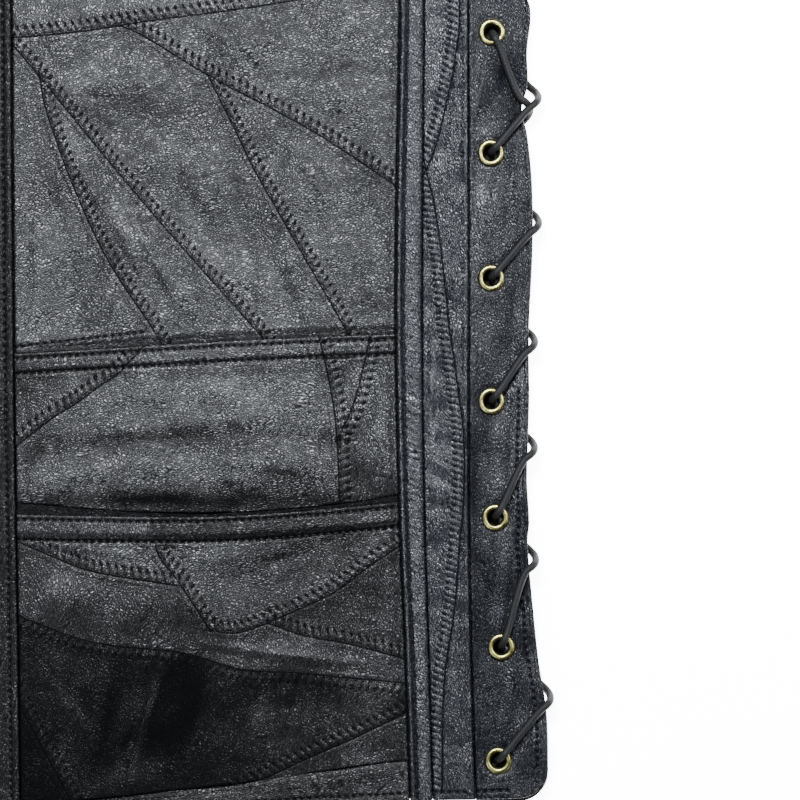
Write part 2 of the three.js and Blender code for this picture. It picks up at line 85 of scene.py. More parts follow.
# Lines of the cut: the hem, the pockets' edges, the seams that run up the front, the laced edge,
# the armhole, neck, shoulder and back's top, and the heights that the front lies at
HEM = table("x edge seam", [
    (0, -315, -310), (30, -314.5, -307.5), (79, -311.3, -302.5), (126, -307.7, -297.3),
    (184, -304.5, -289.1), (232, -302.9, -287)])
POCKET = table("x upper_top upper_end lower_top", [
    (30, -124.9, -184.5, -189.1), (82, -121.8, -188.4, -190.1), (116, -119.8, -188.5, -189.7),
    (157, -117.9, -185.4, -186.8), (184, -116.9, -181.3, -184.1)])
UP_SEAMS = table("y band main strip lace", [
    (-315, 32.4, 188.4, 197.4, 214.6), (-244, 31.4, 186.0, 195.4, 212.4),
    (-184, 30.4, 183.6, 193.6, 211.4), (-104, 29.4, 182.2, 192.8, 211.4),
    (16, 28.6, 184.0, 193.6, 211.2), (60, 28.4, 184.0, 193.6, 211.2)])
LACED_EDGE = table("y x", [
    (-291.7, 243.3), (-269.3, 242.7), (-248.9, 239.6), (-230.5, 237.6), (-200.9, 235.0),
    (-192.5, 235.7), (-175.3, 234.8), (-142.9, 235.7), (-117.3, 235.5), (-83.7, 237.0),
    (-57.3, 236.8), (-37.3, 234.8), (-27.7, 232.6), (-17.7, 235.0), (-4.5, 234.8), (7.5, 236.2)])
ARMHOLE = table("y x", [
    (22.5, 222), (24, 211.2), (29, 197), (36, 184), (50, 172), (75, 161.5), (110, 154.5),
    (150, 152), (200, 153.5), (240, 158.5), (283, 168)])
UNDERARM = table("x y", [(184, 36), (197, 29), (211.2, 24), (222, 22.5)])
NECK_LINE = table("y x", [(43, -12), (72, 0), (150, 27), (230, 52), (315, 75)])
SHOULDER = table("x y", [(75, 315), (168, 283)])
BACK_TOP = table("x y", [(0, 298), (40, 301), (62, 307), (75, 315), (122, 298.8), (168, 283)])
FRONT_LIFT = table("x over under", [
    (28, 6.2, 3.4), (52, 4.8, 3.3), (90, 3.5, 3.2), (150, 3.6, 3.6), (184, 5.0, 5.0),
    (196, 5.5, 5.5), (211, 8.8, 8.8)])
BACK_RAMP = {"from": 193, "to": 211}
# Eyelets from the top down, each with the place where its lace turns over the laced edges
EYELETS = [
    {"x": 220.7, "y": 3.3, "wrap_x": 235.6, "wrap_y": -26.8},
    {"x": 220.3, "y": -44.9, "wrap_x": 238.9, "wrap_y": -23.7},
    {"x": 220.4, "y": -94.9, "wrap_x": 239.1, "wrap_y": -73.7},
    {"x": 220.5, "y": -144.1, "wrap_x": 237.5, "wrap_y": -121.3},
    {"x": 222.0, "y": -190.6, "wrap_x": 237.4, "wrap_y": -163.7},
    {"x": 224.4, "y": -242.3, "wrap_x": 237.9, "wrap_y": -208.5},
    {"x": 223.2, "y": -287.7, "wrap_x": 243.8, "wrap_y": -263.7}]
SNAP_ROWS = [-265, -168, -71, 26]

# Soft folds and creases: middle, angle in degrees, half length, half width and height, which is
# below zero for a trough. FRONT_FOLDS and POCKET_FOLDS are in the solids too.
FOLD_HEADS = "x y angle length width height"
FRONT_FOLDS = table(FOLD_HEADS, [
    (70, -60, -50, 60, 16, 0.9), (140, -20, -20, 45, 14, 0.8), (140, -85, -62, 30, 12, 0.7),
    (100, 60, 25, 60, 18, 1.1), (90, 150, 60, 55, 18, 1.0), (120, 235, -15, 35, 16, 0.8)])
POCKET_FOLDS = table(FOLD_HEADS, [
    (95, -155, 3, 60, 7, 1.0), (125, -171, 6, 45, 6, 1.2), (70, -225, -14, 40, 10, 0.9),
    (140, -265, 12, 40, 14, 0.8)])
FRONT_CREASES = table(FOLD_HEADS, [
    (62, -62, -60, 24, 2.2, 0.9), (82, -80, -64, 17, 2.0, 0.7), (72, -82, -64, 20, 2.0, -0.7),
    (50, -60, -70, 26, 2.4, -0.6), (40, -100, -84, 22, 3.2, 0.7), (36, -70, 86, 22, 2.6, -0.5),
    (68, -23, -6, 14, 1.4, -0.35), (62, -30, -14, 12, 1.2, 0.3), (74, -17, 2, 16, 1.3, 0.3),
    (60, -16, 30, 8, 4.0, 0.6), (96, -40, -40, 16, 2.4, -0.4), (120, -80, -68, 26, 4.0, 0.7),
    (104, -72, -62, 24, 3.6, -0.6), (136, -96, -66, 20, 3.6, -0.6), (92, -96, -52, 18, 3.0, 0.5),
    (158, -78, -74, 22, 4.0, 0.7), (172, -62, -80, 20, 3.2, -0.6), (148, -52, -50, 16, 3.0, 0.5),
    (112, 2, -30, 12, 1.8, 0.5), (122, -6, -50, 12, 1.8, -0.5), (134, 0, -20, 14, 3.0, 0.5),
    (160, -8, 20, 14, 2.6, -0.5), (166, 8, 40, 12, 3.0, 0.5), (150, -28, -24, 16, 3.2, -0.4),
    (60, 12, 4, 20, 2.6, 0.5), (110, 22, 8, 24, 3.0, -0.5),
    (60, 60, 70, 40, 4, -0.9), (120, 90, 20, 36, 4, -0.8), (110, 200, 80, 40, 4, -0.9),
    (90, 120, -35, 30, 4, 0.8), (138, 160, 84, 34, 4, 0.7), (84, 240, 60, 30, 4, -0.7)])
POCKET_CREASES = table(FOLD_HEADS, [
    (88, -158.5, 5, 34, 2.8, -1.0), (140, -159, -3, 30, 3.0, -0.7), (60, -163, 14, 16, 2.2, -0.6),
    (80, -143, 2, 12, 4.5, 0.7), (110, -141, -4, 16, 5.0, 0.9), (134, -147, 6, 14, 4.0, 0.5),
    (66, -172, 12, 14, 2.6, 0.8), (96, -170, 4, 16, 2.4, 0.6), (128, -173, -5, 18, 2.6, -0.6),
    (152, -168, 70, 10, 2.0, 0.5), (172, -150, 80, 14, 2.2, -0.6), (176, -168, 76, 10, 1.8, 0.5),
    (160, -138, 60, 12, 2.4, -0.4),
    (110, -207, 8, 20, 3.4, 0.6), (140, -206, 20, 20, 3.0, -0.7), (168, -214, 60, 12, 2.4, -0.5),
    (62, -204, -8, 16, 2.0, 0.5), (52, -226, 60, 12, 3.0, 0.8), (70, -226, 70, 12, 3.0, -0.7),
    (87, -233.5, 60, 7, 1.3, 0.7), (83, -231, 62, 9, 1.6, -0.6), (118, -243, -8, 20, 2.0, 0.6),
    (150, -247, -6, 18, 1.6, 0.5), (110, -270, 68, 17, 1.7, 0.6), (116, -272, 70, 16, 1.6, -0.6),
    (124, -266, 74, 18, 1.5, 0.5), (134, -270, 80, 16, 1.5, -0.5), (146, -268, 84, 14, 1.6, 0.5),
    (158, -272, 86, 12, 1.6, -0.5), (170, -268, 88, 12, 1.8, 0.5), (92, -262, 62, 20, 4.0, -0.8),
    (62, -258, 72, 16, 1.6, 0.6), (56, -262, 74, 16, 1.8, -0.5), (74, -284, 50, 18, 3.0, -0.6),
    (82, -273, 74, 24, 1.6, 0.7), (78, -274, 74, 24, 1.6, -0.6), (52, -267, -52, 14, 3.0, 0.7)])
SIDE_CREASES = table(FOLD_HEADS, [
    (216, -20, 78, 18, 1.6, 0.4), (228, -62, 84, 26, 1.8, -0.4), (217, -70, 86, 24, 1.6, 0.3),
    (229, -118, 86, 22, 1.8, -0.4), (216, -122, 88, 20, 1.5, 0.35), (228, -166, 88, 18, 1.8, -0.4),
    (229, -216, 84, 24, 2.0, -0.5), (218, -220, 84, 26, 1.8, 0.4), (232, -262, 80, 20, 2.2, -0.4),
    (204, -20, 84, 22, 1.4, -0.3), (199, -140, 87, 34, 1.4, -0.3), (207, -236, 88, 26, 1.4, -0.3),
    (230, -34, 60, 9, 1.6, -0.5), (229, -84, 55, 9, 1.6, -0.5), (229, -134, 60, 9, 1.6, -0.5),
    (230, -180, 62, 9, 1.6, -0.5), (232, -228, 66, 12, 1.6, -0.5), (235, -278, 55, 9, 1.6, -0.5),
    (196.6, -138, 89, 24, 1.4, 0.5), (202, -108, 60, 10, 1.2, 0.3), (200, -104, 60, 10, 1.2, -0.3),
    (198, -96, 62, 10, 1.2, 0.25), (200, -170, -30, 5, 1.4, 0.3), (201, -176, -24, 5, 1.4, -0.3),
    (199, -183, -10, 5, 1.6, 0.3), (204, -270, 84, 22, 2.2, 0.3)])

# Painted sheen and shade along folds and creases, at the pockets' edges and towards the hem, lighter
# where light falls on the leather and darker where shade falls: the height is added to the patch's tone
FRONT_SHEEN_AND_SHADE = table(FOLD_HEADS, [
    (58, -16, 20, 10, 5, 0.5), (80, -26, -8, 26, 6, -0.3), (40, -100, 80, 30, 6, 0.25),
    (120, -96, 10, 26, 12, 0.3), (172, -52, -60, 16, 6, -0.3), (100, -62, -50, 26, 5, -0.12),
    (130, -122, 3, 60, 4, -0.45), (160, -11, 5, 18, 5, -0.3), (184, -10, 90, 60, 3, -0.3),
    (94, -13, -36, 20, 4, -0.35), (121, -62, -78, 36, 4, -0.25), (102, -74, -65, 16, 6, 0.2),
    (169, -104, 0, 9, 6, -0.35), (60, -18, -40, 8, 3, -0.3), (176, -74, 88, 20, 3, 0.15),
    (60, -304, 6, 50, 12, -0.6), (150, -298, 6, 45, 12, -0.35),
    (57, -47, -60, 14, 2.4, 0.4), (65, -62, -62, 18, 2.6, -0.45), (73, -72, -62, 16, 2.6, 0.45),
    (70, -84, -66, 14, 2, -0.4), (82, -82, -60, 14, 2.4, 0.4), (88, -95, -60, 12, 3, -0.3),
    (46, -60, -70, 24, 3, -0.35), (62, -30, -30, 20, 3, -0.3), (96, -16, -30, 20, 4, 0.25)])
UPPER_POCKET_SHEEN_AND_SHADE = table(FOLD_HEADS, [
    (110, -185, 0, 80, 5, -0.75), (90, -158.5, 5, 34, 3.4, -0.5), (36, -136, 80, 14, 9, -0.25),
    (110, -141, 0, 26, 6, 0.35), (66, -171, 10, 16, 4, 0.2), (140, -176, 0, 26, 5, -0.3),
    (168, -137, 60, 9, 7, 0.3), (176, -150, 84, 14, 2.4, 0.5), (105, -133, 2, 70, 1.8, -0.3),
    (38, -164, 60, 12, 5, -0.5), (56, -158, 30, 12, 4, -0.25), (84, -182, 2, 26, 3, -0.35),
    (114, -162, -10, 13, 4, -0.4), (152, -160, 0, 7, 4, -0.4), (165, -162, 90, 8, 4, -0.4),
    (124, -148, 0, 26, 4, 0.15)])
LOWER_POCKET_SHEEN_AND_SHADE = table(FOLD_HEADS, [
    (140, -205, 15, 26, 6, -0.2), (104, -206, 10, 14, 6, 0.3), (92, -264, 65, 22, 7, -0.25),
    (60, -205, -10, 20, 5, 0.15), (130, -244, -8, 24, 2.5, 0.2), (140, -272, 5, 30, 8, 0.08),
    (150, -190, 2, 40, 4, 0.1), (50, -192, 0, 20, 4, -0.1), (168, -272, 88, 22, 12, 0.3),
    (82, -273, 74, 24, 1.6, 0.2), (67, -271, 76, 26, 4, -0.12), (98, -273, 70, 24, 5, -0.14),
    (52, -267, -52, 12, 3.5, 0.14), (46, -218, 70, 10, 5, 0.2), (72, -222, 60, 10, 2.5, 0.2),
    (88, -236, 60, 10, 2, 0.2), (128, -268, 72, 20, 2, 0.12), (140, -266, 78, 18, 1.5, -0.1),
    (162, -202, 60, 6, 5, -0.3), (146, -213, 10, 12, 5, -0.15), (174, -192, 0, 9, 4, 0.25),
    (178, -234, 88, 22, 3, 0.2), (138, -282, 0, 13, 6, 0.4), (178, -259, 20, 9, 5, 0.3),
    (146, -248, -8, 36, 2.5, -0.2), (116, -228, 8, 26, 4, -0.12)])
SIDE_SHEEN_AND_SHADE = table(FOLD_HEADS, [
    (226, -12, 80, 12, 8, -0.4), (228, -32, 75, 16, 4, -0.3), (216, -70, 85, 26, 4, 0.25),
    (226, -110, 85, 22, 4, -0.2), (213, -170, 88, 26, 4, -0.35), (226, -176, 86, 12, 4, 0.2),
    (232, -216, 86, 30, 4, -0.35), (217, -226, 88, 26, 4, -0.1), (222, -268, 88, 34, 12, -0.2),
    (205, -285, 88, 20, 5, -0.2), (200, -168, 80, 12, 5, 0.35), (197, -138, 89, 20, 1.6, 0.35),
    (232, -155, 88, 22, 2.2, 0.4), (219, -150, 88, 16, 2.2, -0.3), (214, -230, 90, 60, 2.5, -0.25),
    (228, -232, 86, 20, 2, 0.2), (221, -20, 60, 12, 3, -0.2), (215, -62, 88, 30, 3, 0.1),
    (220, -214, 86, 18, 4, -0.25), (196, -196, 88, 8, 4, -0.2), (214, -258, 84, 12, 3, 0.15)])

# Patch seams of each piece: the side of its line that the ladder is on, above zero to the left of
# its direction and larger for a narrower ladder, and its points
BODY_SEAMS = [
    (1, [(26, 1), (54, 3.5), (85, 8.3), (126, 13.9), (160, 20), (190, 27)]),
    (1, [(72, 6.3), (83, 1.1), (108, -14.1), (134, -27.7), (157, -40.9), (188, -62)]),
    (1.15, [(107, -13.5), (119, -37.7), (126, -52.1), (141, -78.5), (157, -106.1), (164, -119)]),
    (1.15, [(26, 1.8), (39, -13.3), (54, -31.7), (75, -57.3), (96, -81.7), (116, -104.1), (131, -121)]),
    (1.15, [(39.6, -13.5), (43, -29.7), (54, -60.1), (67, -87.7), (83, -112.1), (90, -124)]),
    (1, [(34, 178), (70, 160), (112, 138), (158, 128)]),
    (1, [(84, 154), (96, 205), (118, 250), (128, 306)])]
UPPER_POCKET_SEAMS = [
    (-1, [(84, -119), (72, -132.5), (64, -138), (54.8, -144.9), (44, -151.7), (26, -166)]),
    (1, [(151, -115), (157, -143.7), (159, -163), (160, -190)]),
    (1, [(173, -114), (166, -143.7), (158.5, -160)])]
LOWER_POCKET_SEAMS = [
    (1, [(26, -198), (54, -210.1), (70, -214.1), (85, -216.5), (95, -218)]),
    (1, [(83, -187), (87, -205), (96, -217.3), (108, -236.1)]),
    (1, [(107, -236), (121, -236.5), (146, -226.5), (160, -219.3), (172, -210.1), (190, -198)]),
    (1, [(131, -233), (146, -238.1), (165, -241.7), (192, -249)]),
    (-1, [(26, -228), (60, -240.5), (96, -244.9), (121, -251.7), (146, -253.3), (192, -257.5)]),
    (1, [(28, -258), (39, -279.3), (46, -291.7), (54, -308)]),
    (1, [(116, -302), (134, -293.5), (152, -285), (168, -278), (192, -266)])]
SIDE_SEAMS = [
    (-1, [(207.4, 30), (207, 0), (199, -39.7), (191, -58)]),
    (-1, [(193.5, -48), (197.6, -65.7), (200.8, -87.7), (203.2, -111.7), (206.6, -135.7),
          (209.4, -160), (209.2, -184), (207.6, -203), (206.2, -223.7), (203.6, -241.7),
          (201.4, -259.7), (200.6, -300)])]


# Reading tables and shaping by formula
def read(rows, key, column, at):
    """Reads one column of a table at values of another, along a smooth curve."""
    k, v = rows[key], rows[column]
    at = np.clip(at, k[0], k[-1])
    i = np.clip(np.searchsorted(k, at, side="right") - 1, 0, len(k) - 2)
    last = len(k) - 1
    before, after = np.maximum(np.arange(last + 1) - 1, 0), np.minimum(np.arange(last + 1) + 1, last)
    slope = (v[after] - v[before]) / (k[after] - k[before])
    span = k[i + 1] - k[i]
    t = (at - k[i]) / span
    rise = v[i + 1] - v[i]
    bend = t * (1 - t) * ((slope[i] * span - rise) * (1 - t) - (slope[i + 1] * span - rise) * t)
    return v[i] + rise * t + bend


def smooth(value):
    t = np.clip(value, 0, 1)
    return t * t * (3 - 2 * t)


def bell(value):
    return np.exp(-value * value)


def hem_edge(x):
    return read(HEM, "x", "edge", x)


def hem_seam(x):
    return read(HEM, "x", "seam", x)


def up_seam(name, y):
    return read(UP_SEAMS, "y", name, y)


def pocket_line(name, x):
    return read(POCKET, "x", name, x)


def beside(name, way):
    """A panel's edge as a function of y, half a gap right or left of an up-seam."""
    return lambda y: up_seam(name, y) + way * SEAM_GAP / 2


def armhole(y):
    return read(ARMHOLE, "y", "x", y)


def underarm(x):
    return read(UNDERARM, "x", "y", x)


def shoulder(x):
    return read(SHOULDER, "x", "y", x)


def neck_line(y):
    return read(NECK_LINE, "y", "x", y)


def back_top(x):
    return read(BACK_TOP, "x", "y", np.abs(x))


def back_seam(y):
    return 211.3 + 0.009 * (LACE_PANEL_TOP - y)


def lace_seam(y):
    return up_seam("lace", y)


def laced_edge(y):
    return read(LACED_EDGE, "y", "x", y)


def turned_edge(past):
    """Rises from zero to one where the leather is turned in or lies double."""
    return smooth(past / 1.2 + 0.5)


def free_of_seams(x, ease):
    """Zero at the seams on both sides of a front, and one between them."""
    return smooth((x - 32) / ease) * smooth((181 - x) / ease)


def fold_height(folds, x, y):
    """The sum of soft folds, each a bell along and across its direction."""
    height = np.zeros(np.shape(x))
    for row in zip(*(folds[name] for name in FOLD_HEADS.split())):
        fx, fy, angle, length, width, rise = row
        turn = math.radians(angle)
        along = ((x - fx) * math.cos(turn) + (y - fy) * math.sin(turn)) / length
        across = ((y - fy) * math.cos(turn) - (x - fx) * math.sin(turn)) / width
        height += rise * bell(along) * bell(across)
    return height


def ripple(x, y, seed, wave, height):
    """Uneven waves of about the given length, the sum of seeded plane waves."""
    draw = np.random.default_rng(seed)
    total = np.zeros(np.shape(x))
    count = 14
    for _ in range(count):
        turn = draw.uniform(0, math.pi)
        rate = 2 * math.pi / (wave * draw.uniform(0.6, 1.6))
        phase = draw.uniform(0, 2 * math.pi)
        total += np.sin(rate * (x * math.cos(turn) + y * math.sin(turn)) + phase)
    return height * total / math.sqrt(count)


def front_under(lap):
    """Height of a front's underside, with its largest folds, by place."""
    def under(x, y):
        lift = read(FRONT_LIFT, "x", lap, x)
        drop = smooth((shoulder(x) - y) / 70)
        folds = fold_height(FRONT_FOLDS, x, y) * free_of_seams(x, 24)
        return SHOULDER_Z + (lift - SHOULDER_Z + folds) * drop
    return under


def pocket_under(lap):
    """Height of a pocket's underside, on its front, by place."""
    base = front_under(lap)

    def under(x, y):
        folds = fold_height(POCKET_FOLDS, x, y) * free_of_seams(x, 20)
        return base(x, y) + LEATHER + SEAM_GAP + folds
    return under


def left_of(ways):
    """Directions, each turned a quarter to the left."""
    return np.column_stack([-ways[:, 1], ways[:, 0]])


class Line:
    """A sewn line on the vest, as close points with the length along it."""

    def __init__(self, points, spacing=0.5):
        p = np.array(points, float)
        ends = np.vstack([2 * p[0] - p[1], p, 2 * p[-1] - p[-2]])
        out = []
        for a, b, c, d in zip(ends[:-3], ends[1:-2], ends[2:-1], ends[3:]):
            t = np.linspace(0, 1, max(4, int(np.linalg.norm(c - b) / 0.4)), endpoint=False)[:, None]
            out.append(0.5 * (2 * b + (c - a) * t + (2 * a - 5 * b + 4 * c - d) * t ** 2
                              + (3 * b - a - 3 * c + d) * t ** 3))
        dense = np.vstack(out + [p[-1:]])
        run = np.append(0, np.cumsum(np.linalg.norm(np.diff(dense, axis=0), axis=1)))
        self.length = run[-1]
        self.run = np.linspace(0, self.length, max(3, int(self.length / spacing)))
        self.points = np.column_stack([np.interp(self.run, run, dense[:, k]) for k in (0, 1)])
        self.tangent = np.gradient(self.points, axis=0)
        self.tangent /= np.linalg.norm(self.tangent, axis=1)[:, None]

    def near(self, x, y, reach):
        """Signed distance, left of the line above zero, length along it and way past its ends."""
        away = np.full(x.shape, FAR)
        along = np.zeros(x.shape)
        beyond = np.zeros(x.shape)
        low, high = self.points.min(axis=0) - reach, self.points.max(axis=0) + reach
        inside = (x > low[0]) & (x < high[0]) & (y > low[1]) & (y < high[1])
        index = np.flatnonzero(inside)
        flat_x, flat_y = x.ravel(), y.ravel()
        for part in np.array_split(index, max(1, len(index) // POINTS_AT_A_TIME)):
            if not len(part):
                continue
            dx = flat_x[part][:, None] - self.points[:, 0]
            dy = flat_y[part][:, None] - self.points[:, 1]
            n = np.argmin(dx * dx + dy * dy, axis=1)
            row = np.arange(len(part))
            tx, ty = self.tangent[n].T
            ux, uy = dx[row, n], dy[row, n]
            side = tx * uy - ty * ux
            past = tx * ux + ty * uy
            at_end = (n == 0) | (n == len(self.run) - 1)
            away.ravel()[part] = side
            along.ravel()[part] = self.run[n] + past
            beyond.ravel()[part] = np.where(at_end, np.abs(past), 0)
        return away, along, beyond

    def row(self, offset, pitch, start=0.5):
        """Places and directions of stitches along the line, moved to its left by an offset."""
        at = np.arange(start * pitch, self.length, pitch)
        p = np.column_stack([np.interp(at, self.run, self.points[:, k]) for k in (0, 1)])
        t = np.column_stack([np.interp(at, self.run, self.tangent[:, k]) for k in (0, 1)])
        return p + offset * left_of(t), t


def seam_field(line, side, pitch, x, y):
    """Distance on the stitched side, turns of the stitches and weight of a patch seam."""
    d, run, beyond = line.near(x, y, SEARCH["seam"])
    d = d * (side or 1)
    ahead = REACH["ladder"] if side else REACH["plain"]
    weight = smooth((ahead - d) / 1.2) * smooth((d + REACH["plain"]) / 1.0)
    return d, run / pitch, weight * (1 - smooth(beyond / 1.5))


def row_field(line, pitch, x, y):
    """Distance from a topstitched row, turns of its stitches and its weight."""
    d, run, beyond = line.near(x, y, SEARCH["row"])
    weight = smooth((REACH["row"] - np.abs(d)) / 1.0) * (1 - smooth(beyond / 1.5))
    return d, run / pitch, weight


def holes_along(d, turns, pitch):
    """How far each point is inside the pull of a stitch, for slanted stitches."""
    wave = 0.5 + 0.5 * np.cos(2 * math.pi * (turns + SLOT["slant"] * d / pitch))
    return wave ** 6


def seam_relief(line, side, pitch, x, y):
    """A patch seam: a crease, a rolled edge beyond it and a raised ladder of pulled stitches."""
    d, turns, weight = seam_field(line, side, pitch, x, y)
    if side == 0:
        return weight * (0.22 * bell((np.abs(d) - 1.4) / 0.8) - 0.5 * bell(d / 0.5))
    holes = holes_along(d, turns, pitch)
    slots = bell((d - SLOT["away"]) / SLOT["half_length"]) * holes
    notches = bell((d - 1.1) / 0.6) * holes
    raised = smooth((d - 0.2) / 2.4) * smooth((6.6 - d) / 2.4)
    return weight * (0.15 * raised - 0.3 * bell(d / 0.4) - 0.45 * slots - 0.15 * notches
                     + 0.05 * bell((d + 1.3) / 0.8))


def stitched_groove(line, x, y):
    """A topstitched line, pulled in at each stitch's ends."""
    d, turns, weight = row_field(line, PITCH["row"], x, y)
    pull = 0.6 + 0.4 * np.cos(2 * math.pi * turns)
    return weight * (0.12 * bell((np.abs(d) - 1.7) / 0.8) - 0.3 * pull * bell(d / 0.6))


def layered(fields, shape):
    """Puts fields of distance, turns, weight and kind in two layers, apart where they meet."""
    layers = [np.zeros(shape + (4,)) for _ in range(2)]
    for layer in layers:
        layer[..., 0] = UNSEWN
    for d, turns, weight, kind in fields:
        live = weight > 0
        clash = [np.count_nonzero(live & (layer[..., 2] > 0)) for layer in layers]
        layer = layers[int(np.argmin(clash))]
        stronger = weight > layer[..., 2]
        for k, value in enumerate((d, turns, weight, kind + 0 * d)):
            layer[..., k] = np.where(stronger, value, layer[..., k])
    return layers


# Panels: a panel's underside takes every third point of its face's grid, EDGE_STEPS are the first
# distances from an edge, where the leather is rounded, and GRAIN_SHIFT gives each patch its own
# stretch of the grain
UNDERSIDE_STEP = 3
EDGE_STEPS = np.array([0.12, 0.32, 0.65])
PLACE_PASSES = 14
LABEL_PASSES = 12
TONE_RANGE = (0.03, 1.4)
GRAIN_SHIFT = 97


def spread(width, step):
    """Fractions across a width, closer together at its two edges."""
    middle = np.linspace(1.1, width - 1.1, max(2, int(width / step)))
    return np.concatenate([[0], EDGE_STEPS, middle, width - EDGE_STEPS[::-1], [width]]) / width


def levels(*lengths_and_steps):
    """Levels through a panel's cross lines, from the length and step of each stretch."""
    marks = []
    last = len(lengths_and_steps) - 1
    for n, (length, step) in enumerate(lengths_and_steps):
        t = np.linspace(0, 1, max(1, int(round(length / step))), endpoint=False)
        if n == 0:
            t = np.concatenate([[0], EDGE_STEPS / length, t[t * length > 0.9]])
        if n == last:
            t = np.concatenate([t[t * length < length - 0.9], 1 - EDGE_STEPS[::-1] / length])
        marks.append(n + t)
    return np.concatenate(marks + [[last + 1]])


def place(panel, s, level):
    """Finds each point of a grid, whose edges depend on y and whose cross lines depend on x."""
    x = np.full(s.shape, float(panel["middle"]))
    y = np.zeros(s.shape)
    for _ in range(PLACE_PASSES):
        lines = np.array([line + 0 * x for line in panel["lines"](x)])
        n = np.minimum(level.astype(int), len(lines) - 2)
        low = np.take_along_axis(lines, n[None], axis=0)[0]
        high = np.take_along_axis(lines, n[None] + 1, axis=0)[0]
        y = low + (level - n) * (high - low)
        x = panel["left"](y) + s * (panel["right"](y) - panel["left"](y))
    return x, y


def edge_distance(panel, x, y):
    lines = panel["lines"](x)
    return np.minimum(np.minimum(x - panel["left"](y), panel["right"](y) - x),
                      np.minimum(y - lines[0], lines[-1] - y))


def rounding(e):
    """How far the leather's edge falls away at a distance from it."""
    inner = np.clip(1 - e / EDGE_ROUND, 0, 1)
    return EDGE_ROUND * (1 - np.sqrt(1 - inner * inner * 0.98))


def top_of(panel, x, y):
    """Height of the finished face at a point of the panel."""
    face = panel["under"](x, y) + panel["thick"](x, y)
    return face + panel["relief"](x, y) - rounding(edge_distance(panel, x, y))


def patch_labels(panel, x, y):
    """Numbers the patches between the seams of a panel, for the points of its grid."""
    rows, columns = x.shape
    wall = np.zeros(x.shape, bool)
    for _, line in panel["seams"]:
        d, _, _ = line.near(x, y, 3)
        wall |= np.abs(d) < panel["cell"] * 0.8
    label = np.where(wall, -1, 0)
    count = 0
    for start in zip(*np.nonzero(label == 0)):
        if label[start]:
            continue
        count += 1
        stack = [start]
        label[start] = count
        while stack:
            j, i = stack.pop()
            for m, n in ((j + 1, i), (j - 1, i), (j, i + 1), (j, i - 1)):
                if 0 <= m < rows and 0 <= n < columns and label[m, n] == 0:
                    label[m, n] = count
                    stack.append((m, n))
    for _ in range(LABEL_PASSES):
        for shift, axis in ((1, 0), (-1, 0), (1, 1), (-1, 1)):
            moved = np.roll(label, shift, axis=axis)
            label = np.where((label < 0) & (moved > 0), moved, label)
    return np.maximum(label, 0)


def lay_of(panel, x, y):
    """Angle of the hide's grain and its tone at each point: each patch has its own, and spots of painted
    sheen and shade are added to the tone.
    """
    label = patch_labels(panel, x, y) if panel["seams"] else np.zeros(x.shape, int)
    draw = np.random.default_rng(panel["seed"])
    angles = draw.uniform(-0.9, 0.9, label.max() + 1) + panel["lay"]
    tones = panel["tone"] * draw.uniform(0.9, 1.1, label.max() + 1)
    for px, py, angle, tone in panel["patches"]:
        n = label.ravel()[np.argmin((x - px) ** 2 + (y - py) ** 2)]
        angles[n], tones[n] = math.radians(angle), tone
    return angles[label], np.clip(tones[label] + fold_height(panel["tones"], x, y), *TONE_RANGE)


def keep(x, y, holes):
    """Which points are outside every hole."""
    kept = np.ones(x.shape, bool)
    for hx, hy, radius in holes:
        kept &= (x - hx) ** 2 + (y - hy) ** 2 > radius * radius
    return kept


def mesh_piece(name, points, faces):
    """A smooth piece from points in millimetres and faces."""
    mesh = bpy.data.meshes.new(name)
    mesh.from_pydata((np.asarray(points) * MM).tolist(), [], faces)
    mesh.polygons.foreach_set("use_smooth", np.ones(len(mesh.polygons), bool))
    mesh.update()
    piece = bpy.data.objects.new(name, mesh)
    bpy.context.collection.objects.link(piece)
    return piece


def give(mesh, name, kind, domain, values):
    """Stores an attribute on a mesh."""
    layer = mesh.attributes.new(name, kind, domain)
    field = {"FLOAT_VECTOR": "vector", "FLOAT_COLOR": "color", "FLOAT": "value"}[kind]
    layer.data.foreach_set(field, np.asarray(values, dtype=np.float32).ravel())


def seam_fields(panel, x, y):
    """Attributes that draw the fine stitching in the material: two layers of lines and rows."""
    mask = panel["seam_mask"](x, y)
    fields = []
    for side, line in panel["seams"]:
        d, turns, weight = seam_field(line, side, panel["pitch"], x, y)
        if side:
            turns = turns + SLOT["slant"] * d / panel["pitch"]
            weight = weight * mask
        fields.append((d, turns, weight, float(bool(side))))
    rows = [(*row_field(line, PITCH["row"], x, y), 0.0) for line in panel["rows"]]
    sewn = np.clip(panel["sewn"](x, y), 0, UNSEWN)
    return layered(fields, x.shape) + [layered(rows, x.shape)[0]], sewn


